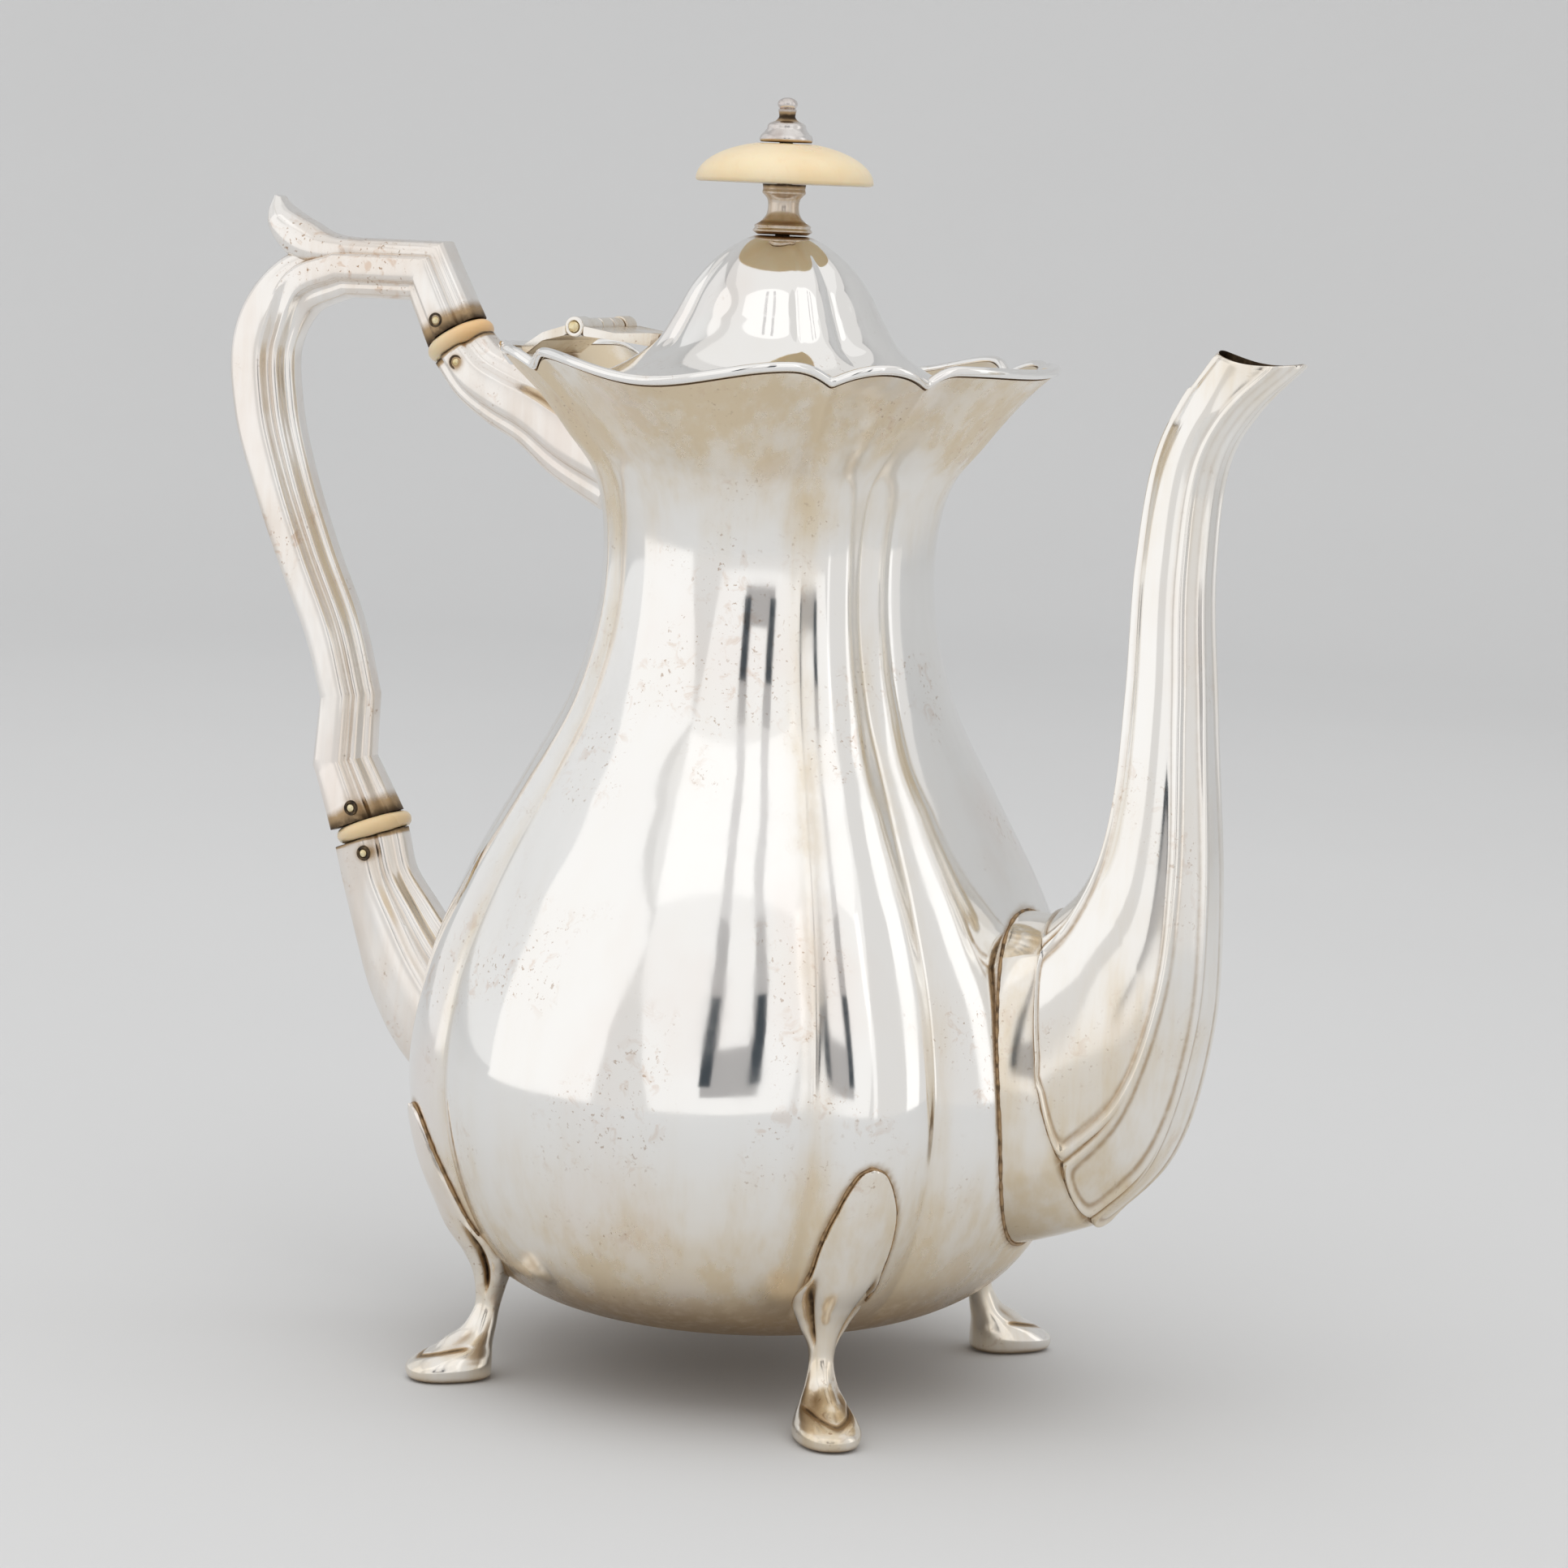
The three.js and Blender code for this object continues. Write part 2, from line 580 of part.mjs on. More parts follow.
function lidDome() {
  const edge = [
    [LID_RADIUS, lidUnderside + LID_EDGE], [LID_RADIUS, lidUnderside], [landingRadius, lidUnderside],
  ];
  const inside = offset(lidOutline, LID_WALL).slice(1, -1).reverse();
  const holeEdge = [LID_OUTLINE[0][0], lidTop - LID_WALL];
  return solid(skin(lidRings([...lidOutline, ...edge, ...inside, holeEdge]), true));
}

function lidBezel() {
  const inner = BEZEL_RADIUS - BEZEL_WALL;
  const under = (r) => lidUnderside + BEZEL_SLOPE * (landingRadius - r) - 2 * GAP;
  return turned([
    [inner, BEZEL_BOTTOM], [BEZEL_RADIUS, BEZEL_BOTTOM], [BEZEL_RADIUS, under(BEZEL_RADIUS)],
    [inner, under(inner)], [inner, BEZEL_BOTTOM],
  ], 40);
}

// ---------------------------------------------------------------- hinge

// One leaf of the hinge: its own knuckles and a plate whose outline is given in the XZ plane.
function hingeLeaf(first, plateOutline) {
  const { x, z, knuckles, knuckleLength, radius, endRadius, pinRadius } = HINGE;
  const half = (knuckles * knuckleLength) / 2;
  const side = Math.sign(plateOutline[0][0] - x);
  const plateShape = new THREE.Shape(plateOutline.map((p) => new THREE.Vector2(...p)));
  const plateGeometry = new THREE.ExtrudeGeometry(plateShape, { depth: 2 * half, bevelEnabled: false });
  plateGeometry.rotateX(Math.PI / 2);
  plateGeometry.translate(0, half, 0);
  let leaf = solid(plateGeometry);
  for (let k = first; k < knuckles; k += 2) {
    const from = -half + k * knuckleLength + GAP / 2;
    const to = from + knuckleLength - GAP;
    const isEnd = k === 0 || k === knuckles - 1;
    const tongue = new THREE.BoxGeometry(3, to - from, LEAF_THICKNESS);
    tongue.translate(x + side * 1.9, (from + to) / 2, plateOutline[0][1] - LEAF_THICKNESS / 2);
    leaf = leaf.add(rod(vec(x, from, z), vec(x, to, z), isEnd ? endRadius : radius, 16)).add(solid(tongue));
  }
  return leaf.subtract(rod(vec(x, -30, z), vec(x, 30, z), pinRadius + GAP, 16));
}

function hingeBodyLeaf() {
  return hingeLeaf(0, [
    [HINGE.x - 2.3, 203.6], [-46, 202.2], [-50.6, 199.4], [-50.2, 198.2], [-46, 201],
    [HINGE.x - 2.3, 202.5],
  ]).subtract(bodyWall);
}

function hingeLidLeaf() {
  return hingeLeaf(1, [
    [HINGE.x + 2.3, 203.6], [-30, 203.2], [-20, 202.6], [-20, 201.4], [-30, 202], [HINGE.x + 2.3, 202.5],
  ]).subtract(lidEnvelope);
}

function hingePin() {
  const half = (HINGE.knuckles * HINGE.knuckleLength) / 2 + 0.4;
  return rod(vec(HINGE.x, -half, HINGE.z), vec(HINGE.x, half, HINGE.z), HINGE.pinRadius, 16);
}

// ---------------------------------------------------------------- finial

const BORE = STUD_RADIUS + GAP;

function finialStem() {
  const bottom = lidTop + GAP;
  const top = CAP_UNDERSIDE - GAP;
  return turned([
    [BORE, bottom], [5.2, bottom], [5.75, 224.4], [5.2, 225.3], [4.3, 225.9], [3.2, 227.4], [2.95, 229],
    [3.2, 230.6], [4, 231.8], [4.25, 232.5], [4, top], [BORE, top], [BORE, bottom],
  ], 20);
}

function finialCap() {
  const arc = radians(70);
  const dome = Array.from({ length: 8 }, (_, k) => {
    const turn = (arc * k) / 7;
    const rise = Math.sin(turn) / Math.sin(arc);
    return [CAP_RADIUS * Math.cos(turn), lerp(CAP_UNDERSIDE + 0.9, CAP_TOP, rise)];
  });
  const underside = [[BORE, CAP_UNDERSIDE], [CAP_RADIUS - 0.8, CAP_UNDERSIDE]];
  return turned([...underside, ...dome, [BORE, CAP_TOP], [BORE, CAP_UNDERSIDE]], 32);
}

function finialTip() {
  const bottom = CAP_TOP + GAP;
  const ball = Array.from({ length: 6 }, (_, k) => {
    const turn = lerp(-0.9, Math.PI / 2, k / 5);
    return [TIP_BALL_RADIUS * Math.cos(turn), FINIAL_TOP - TIP_BALL_RADIUS * (1 - Math.sin(turn))];
  });
  return turned([
    [BORE, bottom], [5.2, bottom], [5, 242.6], [3.9, 243.9], [3.67, 245.2], [2.6, 245.6], [1.6, 246.3],
    ...ball, [0, STUD_TOP + GAP], [BORE, STUD_TOP + GAP], [BORE, bottom],
  ], 18);
}

function finialNut() {
  const nut = rod(vec(0, 0, 218.8), vec(0, 0, 221.7), 4, 6);
  return nut.subtract(rod(vec(0, 0, 218), vec(0, 0, 222), BORE, 16));
}

// ---------------------------------------------------------------- assembly

addPart('body_shell', bodyShell(), silver(0.22));
addPart('rim_wire', rimWire(), silver(0.18));
addPart('lid_seat_ring', lidSeatRing(), silver(0.3));
addPart('foot_front_left', foot(1, -1), silver(0.25));
addPart('foot_front_right', foot(1, 1), silver(0.25));
addPart('foot_rear_left', foot(-1, -1), silver(0.25));
addPart('foot_rear_right', foot(-1, 1), silver(0.25));
addPart('spout', spout(), silver(0.22));
addPart('spout_skirt', spoutSkirt(), silver(0.25));
addPart('hinge_body_leaf', hingeBodyLeaf(), silver(0.3));
addPart('hinge_pin', hingePin(), gilt);
addPart('handle_upper_socket', handleSocket(UPPER_INSULATOR, UPPER_SOCKET), silver(0.25));
addPart('handle_lower_socket', handleSocket(LOWER_INSULATOR, LOWER_SOCKET), silver(0.25));
addPart('handle_upper_insulator', insulatorPiece(UPPER_INSULATOR), ivory);
addPart('handle_lower_insulator', insulatorPiece(LOWER_INSULATOR), ivory);
addPart('handle_grip', handleGrip(), silver(0.25));
addPart('pin_upper_grip', pinRod(UPPER_INSULATOR, -1, PIN_RADIUS, 5.8), gilt);
addPart('pin_upper_socket', pinRod(UPPER_INSULATOR, 1, PIN_RADIUS, 5.8), gilt);
addPart('pin_lower_grip', pinRod(LOWER_INSULATOR, -1, PIN_RADIUS, 6.2), gilt);
addPart('pin_lower_socket', pinRod(LOWER_INSULATOR, 1, PIN_RADIUS, 6.2), gilt);
addPart('lid_dome', lidDome(), silver(0.2));
addPart('lid_bezel', lidBezel(), silver(0.3));
addPart('hinge_lid_leaf', hingeLidLeaf(), silver(0.3));
addPart('finial_stem', finialStem(), silver(0.22));
addPart('finial_cap', finialCap(), ivory);
addPart('finial_tip', finialTip(), silver(0.22));
addPart('finial_stud', rod(vec(0, 0, STUD_BOTTOM), vec(0, 0, STUD_TOP), STUD_RADIUS, 12), silver(0.4));
addPart('finial_nut', finialNut(), silver(0.4));

export default group;
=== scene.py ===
"""The looks of a lobed silver coffee pot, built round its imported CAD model.

Sizes are in millimetres about the body's centreline until a mesh is made: +Z up from the table, +X out
along the spout and -X along the handle. The body's own box says where that centreline stands.
"""

import math

import bmesh
import bpy
import numpy as np
from mathutils import Matrix, Vector
from mathutils.kdtree import KDTree


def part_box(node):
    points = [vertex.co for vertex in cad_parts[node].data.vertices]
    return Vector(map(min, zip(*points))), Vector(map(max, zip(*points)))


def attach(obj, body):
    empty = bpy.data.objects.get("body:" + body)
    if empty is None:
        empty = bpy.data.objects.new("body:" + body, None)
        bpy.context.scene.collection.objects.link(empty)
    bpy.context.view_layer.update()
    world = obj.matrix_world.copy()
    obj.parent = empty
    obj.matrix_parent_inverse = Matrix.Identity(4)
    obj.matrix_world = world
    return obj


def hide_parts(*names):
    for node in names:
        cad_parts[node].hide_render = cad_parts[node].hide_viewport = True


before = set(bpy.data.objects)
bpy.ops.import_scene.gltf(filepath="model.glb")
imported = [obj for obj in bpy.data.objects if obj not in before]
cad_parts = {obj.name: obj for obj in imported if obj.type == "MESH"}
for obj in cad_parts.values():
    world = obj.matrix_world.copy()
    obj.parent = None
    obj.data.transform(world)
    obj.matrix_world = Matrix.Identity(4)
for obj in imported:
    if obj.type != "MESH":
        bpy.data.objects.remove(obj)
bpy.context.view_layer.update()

MM = 0.001

body_low, body_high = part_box("body_shell")
CENTRELINE = np.array([(body_low[0] + body_high[0]) / 2 / MM, 0, 0])


def box_mm(node):
    """The lowest and highest corner of a CAD node, in millimetres about the body's centreline."""
    low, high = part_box(node)
    return np.array(low) / MM - CENTRELINE, np.array(high) / MM - CENTRELINE


def middle_of(node):
    return sum(box_mm(node)) / 2


def to_frame(points):
    """Millimetres about the centreline to metres in the CAD's frame."""
    return (np.asarray(points, float) + CENTRELINE) * MM


# ------------ driving dimensions

WALL = 1.2  # sheet silver of the body and the spout

# The body's outline from the middle of its base up to the rim: radius, height.
BODY_OUTLINE = [
    (0, 13), (22, 13.3), (40, 15.8), (53.5, 23.9), (62.8, 38), (67.6, 58), (64.6, 79), (57, 98),
    (47, 116.5), (38, 133.8), (33.3, 152), (33.4, 168.5), (36.2, 177.5), (42.1, 184.5), (48.2, 190.6),
    (54.4, 196),
]
OUTLINE_STEPS = 16  # rows between two points of the outline
AXIS_RADIUS = 0.4  # of the tiny ring that closes the middle of the base
RIM_HEIGHT = BODY_OUTLINE[-1][1]
RIM_WAVE_DEPTH = 16.0  # how far below the rim its wave begins
RIM_WIRE_RADIUS = 0.9
RIM_CREST = 2.8  # how far the rim rises beside each crease
CREST_AT = 0.78  # of the way from the middle of a wide lobe to its crease
SIDE_DIP = -0.9  # height of the rim's wave at the middle of a side lobe
END_DIP = 2.2  # and of a lobe at the spout or the handle
CREASE_FILLET = 0.55  # half width of the hollow fillet in each crease on the belly
NECK_FILLET = 1.1  # and on the neck
SEAT_BORE = 34.2  # radius of the hole in the lid's seat
SEAT_BEVEL = 0.25

END_LOBE_HALF = 31.0  # degrees, at the spout and the handle
SIDE_LOBE_HALF = 37.5  # degrees, at the sides

TOE_ANGLE = 47.0
KNEE_ANGLE = 43.0
# A foot's level sections: height, radius of the centre, half length outward, half width.
FOOT_SECTIONS = [
    (0, 59.4, 6.6, 4.4), (0.8, 59.5, 8.2, 5.7), (2.6, 59.5, 8.4, 6.1), (4.4, 58.4, 7.4, 5.6),
    (6.8, 56, 5.2, 4.5), (9.5, 53.6, 3.4, 3.2), (13.5, 51.9, 2.5, 2.4), (17.5, 51.2, 3, 2.9),
    (21, 51, 3.9, 4.2), (24, 51.6, 4.8, 5.6), (27.5, 53, 5.6, 6.7), (33, 56.6, 4.9, 6.8),
    (38, 60, 4.4, 6.9), (43, 62, 3.9, 6.3), (47.5, 63.4, 3.5, 5), (51, 64.4, 3, 3.4),
    (52.7, 64.7, 2.7, 2.1), (53.6, 64.9, 2.5, 0.3),
]
KNEE_START = 23.0  # height at which the leg spreads into the shield on the belly
SHIELD_START = 31.0
SHIELD_PROUD = 1.0
FLANGE = 0.24  # how much wider than its section the leg is along its two edges
SEAM_RADIUS = 0.28  # half width of the brown solder line round each applied part

SPOUT_BASE_Z = 65.0
SPOUT_BASE_HALF_HEIGHT = 33.0
SPOUT_BASE_HALF_WIDTH = 22.5
# Stations up the spout: back x, back z, front x, front z, half width.
SPOUT_STATIONS = [
    (64.5, 99, 75.5, 36.8, 20.5), (69.5, 104.5, 88.5, 51.5, 18), (73.2, 112, 95.4, 76, 14.5),
    (75.6, 123, 96.2, 101, 11.8), (76.8, 141, 93.4, 137, 8.8), (77.4, 165, 91.6, 165, 7.4),
    (80, 185.5, 93.6, 185.5, 7), (84.3, 196.3, 99, 194.8, 7.3), (90.2, 206, 108.6, 204, 7.2),
]
SPOUT_LENGTH = 178.0  # from the first station to the mouth
SPOUT_RIDGES = (40, 122, 158)  # degrees round the spout from its back, on both sides
PANEL_STEPS = 36  # columns between two ridges
SKIRT_INSET = 0.9
RIDGE_HEIGHT = 0.85
RIDGE_HALF_WIDTH = 0.85
FRAME_HEIGHT = 0.8  # of the bead that frames each panel where the spout meets its skirt
FRAME_HALF_WIDTH = 0.62
FRAME_INSET = 0.95

# The handle's insulators: direction from the grip to the body, in degrees in the XZ plane, and thickness.
INSULATORS = {"handle_upper_insulator": (-58.0, 3.6), "handle_lower_insulator": (-69.0, 3.4)}
UPPER, LOWER = INSULATORS
JOINT_GAP = 0.15  # between a bar and its insulator
PINS = ("pin_upper_grip", "pin_upper_socket", "pin_lower_grip", "pin_lower_socket")

# The grip's centreline between its two corners: x, z, half thickness.
GRIP_CORNER_TOP = (-78.2, 213.3, 6.1)
GRIP_CURVE = [
    (-98, 213.2, 6.1), (-109.5, 208.6, 6.6), (-115.6, 198, 6.8), (-115, 184, 6.7),
    (-110.6, 169.5, 6.2), (-104.2, 154, 5.9), (-97.2, 139, 5.8), (-93.2, 126, 5.6),
]
GRIP_CORNER_BOTTOM = (-94, 112.4, 6)
GRIP_HALF_WIDTH = 6.0
THUMB_SCROLL = [
    (-84, 216.5, 2.2), (-95, 216.6, 2.7), (-102.5, 216.6, 3.6), (-108, 218.2, 4.3),
    (-112, 221, 3.6), (-114.2, 224.2, 2.2), (-114.9, 227.2, 0.7),
]
# The sockets' centrelines from the insulator into the body: x, z, half thickness, half width.
UPPER_SOCKET = [
    (-65.4, 193.4, 7, 6.6), (-60, 190.4, 7.6, 6.5), (-52, 187, 8.3, 6.3), (-43, 182, 9.8, 6.2),
    (-33, 178, 11, 6.2),
]
LOWER_SOCKET = [
    (-84.4, 89, 7.3, 6.8), (-80, 80.5, 9, 7), (-74.5, 71.5, 11, 7.6), (-67, 63, 12.4, 8.4),
    (-58, 57, 13, 9),
]
# Half sections of the handle's bars, from the middle of the outer face round to the middle of the inner
# face: (outward, sideways), in halves of the bar's thickness and width.
GRIP_MOULDING = [
    (1.0, 0.0), (1.0, 0.62), (0.93, 0.84), (0.78, 0.97), (0.4, 1.0), (0.06, 1.0),
    (-0.1, 0.95), (-0.2, 0.78), (-0.29, 0.66), (-0.4, 0.70), (-0.5, 0.76), (-0.6, 0.70),
    (-0.68, 0.50), (-0.75, 0.38), (-0.86, 0.37), (-0.96, 0.26), (-1.0, 0.0),
]
BAR_MOULDING = [
    (1.0, 0.0), (0.98, 0.3), (0.9, 0.5), (0.76, 0.62), (0.62, 0.62), (0.53, 0.66),
    (0.47, 0.86), (0.38, 0.97), (0.2, 1.0), (-0.18, 1.0), (-0.32, 0.95), (-0.42, 0.72),
    (-0.52, 0.62), (-0.68, 0.62), (-0.84, 0.54), (-0.96, 0.34), (-1.0, 0.0),
]

# The lid's outer face from the finial's hole to its edge: radius, height.
LID_OUTLINE = [
    (1.8, 223.3), (5.6, 223.2), (12.2, 219.4), (17.2, 214), (20.8, 207.6), (24, 202.6),
    (28.5, 198.6), (34, 195.9),
]
LID_RADIUS = 38.0
LID_UNDERSIDE = 193.9
LID_EDGE = 1.0
LID_WALL = 1.0
FLUTE_DEPTH = 0.075
KNUCKLES = 5
KNUCKLE_LENGTH = 4.6
FINIAL_BORE = 1.6


# ------------ curves and meshes


def smooth(points, steps):
    """A centripetal Catmull-Rom curve through points of any dimension, in `steps` from each to the next."""
    p = np.asarray(points, float)
    p = np.vstack([2 * p[0] - p[1], p, 2 * p[-1] - p[-2]])
    place = np.linspace(0, len(points) - 1, (len(points) - 1) * steps + 1)
    i = np.minimum(place.astype(int), len(points) - 2)
    w = (place - i)[:, None]
    before, start, end, after = p[i], p[i + 1], p[i + 2], p[i + 3]
    steps = (start - before, end - start, after - end)
    d0, d1, d2 = (np.linalg.norm(step, axis=1)[:, None] ** 0.5 for step in steps)
    leave = ((start - before) / d0 - (end - before) / (d0 + d1)) * d1 + (end - start)
    arrive = (end - start) + ((after - end) / d2 - (after - start) / (d1 + d2)) * d1
    bend = -3 * start + 3 * end - 2 * leave - arrive
    twist = 2 * start - 2 * end + leave + arrive
    return start + leave * w + bend * w**2 + twist * w**3


def ease(x, low, high):
    """0 up to low, 1 from high on, and a smooth rise between them."""
    t = np.clip((x - low) / (high - low), 0, 1)
    return t * t * (3 - 2 * t)


def bell(x, half_width):
    return np.exp(-((x / half_width) ** 2))


def lerp(a, b, t):
    return a + (b - a) * t


def crowded(start, end, steps, evenness):
    """Steps from start to just before end, closer together near both. An evenness of 1 spaces them alike."""
    u = np.arange(steps) / steps * 2 - 1
    t = evenness * u + (1 - evenness) * np.sin(u * math.pi / 2)
    return lerp(start, end, (t + 1) / 2)


def unit(vectors):
    return vectors / np.maximum(np.linalg.norm(vectors, axis=-1, keepdims=True), 1e-9)


def heading(tilt):
    """x and z of a direction in the XZ plane."""
    return np.array([math.cos(math.radians(tilt)), math.sin(math.radians(tilt))])


def around(angle, radius, z):
    """Points at directions in degrees, radii and heights about the centreline."""
    turn = np.radians(angle)
    return np.stack(np.broadcast_arrays(radius * np.cos(turn), radius * np.sin(turn), z), axis=-1)


def angle_of(points):
    return np.degrees(np.arctan2(points[..., 1], points[..., 0]))


def radius_of(points):
    return np.hypot(points[..., 0], points[..., 1])


def full_turn(columns):
    return np.linspace(0, 2 * math.pi, columns, endpoint=False)


def offset(outline, distance):
    """An outline moved along its own normals, to the right of its direction when positive."""
    along = unit(np.gradient(outline, axis=0))
    moved = outline + distance * np.column_stack([along[:, 1], -along[:, 0]])
    moved[:, 0] = np.maximum(moved[:, 0], 0.3)
    return moved


def shell(points, wrap_rows=False):
    """Vertices and faces of a grid of points (rows, columns, 3). Its columns wrap round.

    Its rows wrap too, or its two ends are capped round a hub, and the hubs come last."""
    rows, columns = points.shape[:2]
    r = np.arange(rows if wrap_rows else rows - 1)[:, None]
    c = np.arange(columns)[None, :]
    r2 = (r + 1) % rows
    c2 = (c + 1) % columns
    corners = [r * columns + c, r * columns + c2, r2 * columns + c2, r2 * columns + c]
    faces = np.stack(corners, axis=-1).reshape(-1, 4).tolist()
    vertices = points.reshape(-1, 3)
    if not wrap_rows:
        for start in (0, (rows - 1) * columns):
            hub = len(vertices)
            vertices = np.vstack([vertices, vertices[start : start + columns].mean(0)])
            faces += [[hub, start + k, start + (k + 1) % columns] for k in range(columns)]
    return vertices, faces


def make_piece(name, node, material, *shells, body="pot", sharp_angle=50, grime_and_shade=None, tarnish_and_shade=None):
    """One mesh object from one or more shells, riding on a CAD body in place of its node.

    grime_and_shade and tarnish_and_shade hold a value for each vertex, and the last ones may be left out as
    0. Besides dirt and tarnish they carry painted light on the body and the ivory rings."""
    vertices = np.vstack([v for v, _ in shells])
    faces = []
    start = 0
    for v, f in shells:
        faces += [[k + start for k in face] for face in f]
        start += len(v)
    mesh = bpy.data.meshes.new(name)
    mesh.from_pydata(to_frame(vertices).tolist(), [], faces)
    bm = bmesh.new()
    bm.from_mesh(mesh)
    bmesh.ops.recalc_face_normals(bm, faces=bm.faces)
    bm.to_mesh(mesh)
    bm.free()
    mesh.shade_smooth()
    mesh.set_sharp_from_angle(angle=math.radians(sharp_angle))
    mesh.materials.append(material)
    for label, amount in (("grime_and_shade", grime_and_shade), ("tarnish_and_shade", tarnish_and_shade)):
        if amount is not None:
            amount = np.ravel(amount)
            padded = np.pad(amount, (0, len(vertices) - len(amount)))
            layer = mesh.attributes.new(label, "FLOAT", "POINT")
            layer.data.foreach_set("value", padded.astype(np.float32))
    piece = bpy.data.objects.new(name, mesh)
    bpy.context.scene.collection.objects.link(piece)
    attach(piece, body)
    if node:
        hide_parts(node)


def turned(outline, columns):
    """A grid of an outline (radius, height) turned about the centreline."""
    outline = np.asarray(outline, float)
    return around(np.degrees(full_turn(columns)), outline[:, :1], outline[:, 1:])


def rounded(outline, radius, steps=5):
    """A closed outline with its corners rounded, as far as its sides allow."""
    points = np.asarray(outline, float)
    result = []
    for k, here in enumerate(points):
        sides = [points[k - 1] - here, points[(k + 1) % len(points)] - here]
        reach = min(radius, *(0.45 * np.linalg.norm(side) for side in sides))
        a, b = (here + reach * unit(side) for side in sides)
        for t in np.linspace(0, 1, steps):
            result.append((1 - t) ** 2 * a + 2 * t * (1 - t) * here + t**2 * b)
    return np.array(result)


def axis_rings(outline, centre, along, across, columns):
    """An outline of (distance along the axis, radius) turned about any axis through centre."""
    outline = np.asarray(outline, float)[:, :, None, None]
    along = np.array(along, float)
    across = np.array(across, float)
    turn = full_turn(columns)[:, None]
    spokes = np.cos(turn) * across + np.sin(turn) * np.cross(along, across)
    return np.array(centre, float) + outline[:, 0] * along + outline[:, 1] * spokes


def domed_rod(centre, reach, radius, dome_height, steps, columns):
    """A rod along Y whose two ends are domed."""
    turn = np.linspace(0, 1.5, steps)
    dome = [(reach - dome_height + dome_height * math.sin(t), radius * math.cos(t)) for t in turn]
    outline = [(-a, r) for a, r in dome[::-1]] + dome
    return shell(axis_rings(outline, centre, (0, 1, 0), (1, 0, 0), columns))


def wobble(points, wavelength, seed):
    """A smooth uneven field of about -1 to 1, the same on every run."""
    random = np.random.default_rng(seed)
    waves = 9
    total = 0
    for _ in range(waves):
        way = random.normal(size=3)
        way *= random.uniform(0.6, 1.5) / np.linalg.norm(way)
        phase = random.uniform(0, 2 * math.pi)
        total = total + np.sin(points @ way * 2 * math.pi / wavelength + phase)
    return total / math.sqrt(waves / 2) / 1.6


def dented(points, amount, wavelength, seed):
    """Points moved in and out from the centreline a little, as hand-raised silver is."""
    push = amount * wobble(points, wavelength, seed)
    grow = 1 + push / np.maximum(radius_of(points), 1)
    return points * np.stack([grow, grow, np.ones_like(grow)], axis=-1)


def seam_tube(path, radius, closed=True):
    """A thin bead along a path of points, for the tarnish and solder that fill a seam."""
    if closed:
        along = np.roll(path, -1, axis=0) - np.roll(path, 1, axis=0)
    else:
        along = np.gradient(path, axis=0)
    along = unit(along)
    beside = unit(np.cross(along, unit(path * (1, 1, 0))))
    outward = np.cross(beside, along)
    turn = full_turn(8)[None, :, None]
    spokes = np.cos(turn) * outward[:, None] + np.sin(turn) * beside[:, None]
    uneven = radius * (1 + 0.25 * wobble(path, 3.0, 7))
    return shell(path[:, None] + uneven[:, None, None] * spokes, wrap_rows=closed)


def nearness(points, seam, reach):
    """1 on the seam's points and falling to 0 over a few times `reach` away from them."""
    tree = KDTree(len(seam))
    for k, p in enumerate(seam):
        tree.insert(p, k)
    tree.balance()
    distance = np.array([tree.find(p)[2] for p in points])
    return bell(distance, reach)


# ------------ materials


class Nodes:
    """A short way to write a material's nodes."""

    def __init__(self, name):
        self.material = bpy.data.materials.new(name)
        self.material.use_nodes = True
        self.tree = self.material.node_tree
        self.tree.nodes.clear()
        self.coordinates = self.new("ShaderNodeTexCoord").outputs["Object"]

    def new(self, kind, **properties):
        node = self.tree.nodes.new(kind)
        for key, value in properties.items():
            setattr(node, key, value)
        return node

    def fill(self, node, sockets):
        """Link or set a node's inputs, by name or by number, and give its first output."""
        for key, value in sockets.items():
            if isinstance(value, bpy.types.NodeSocket):
                self.tree.links.new(value, node.inputs[key])
            else:
                node.inputs[key].default_value = value
        return node.outputs[0]

    def noise(self, scale, detail=4.0, roughness=0.5, stretch=(1, 1, 1), distortion=0.0):
        mapping = self.new("ShaderNodeMapping")
        place = self.fill(mapping, {"Vector": self.coordinates, "Scale": stretch})
        return self.fill(self.new("ShaderNodeTexNoise"), {
            "Vector": place, "Scale": scale, "Detail": detail, "Roughness": roughness,
            "Distortion": distortion,
        })

    def ramp(self, value, low, high, to_low=0.0, to_high=1.0):
        return self.fill(self.new("ShaderNodeMapRange", interpolation_type="SMOOTHSTEP"), {
            "Value": value, "From Min": low, "From Max": high, "To Min": to_low, "To Max": to_high,
        })

    def combine(self, operation, first, *others):
        """Values combined one after another by a math operation."""
        for other in others:
            node = self.new("ShaderNodeMath", operation=operation)
            first = self.fill(node, {0: first, 1: other})
        return first

    def times(self, *values):
        return self.combine("MULTIPLY", *values)

    def plus(self, *values):
        return self.combine("ADD", *values)

    def mix(self, factor, a, b):
        node = self.new("ShaderNodeMix", data_type="RGBA")
        self.fill(node, {0: factor, 6: a, 7: b})
        return node.outputs[2]

    def attribute(self, name):
        return self.new("ShaderNodeAttribute", attribute_name=name).outputs["Fac"]

    def crevice(self, distance):
        """How deep in a corner a place is: 0 in the open and 1 where little light comes in."""
        node = self.new("ShaderNodeAmbientOcclusion", samples=6)
        node.inputs["Distance"].default_value = distance * MM
        return self.combine("SUBTRACT", 1.0, node.outputs["AO"])

    def bump(self, height, distance, strength, below=None):
        sockets = {"Strength": strength, "Distance": distance * MM, "Height": height}
        if below is not None:
            sockets["Normal"] = below
        return self.fill(self.new("ShaderNodeBump"), sockets)

    def surface(self, sockets):
        shader = self.fill(self.new("ShaderNodeBsdfPrincipled"), sockets)
        self.tree.links.new(shader, self.new("ShaderNodeOutputMaterial").inputs["Surface"])
        return self.material


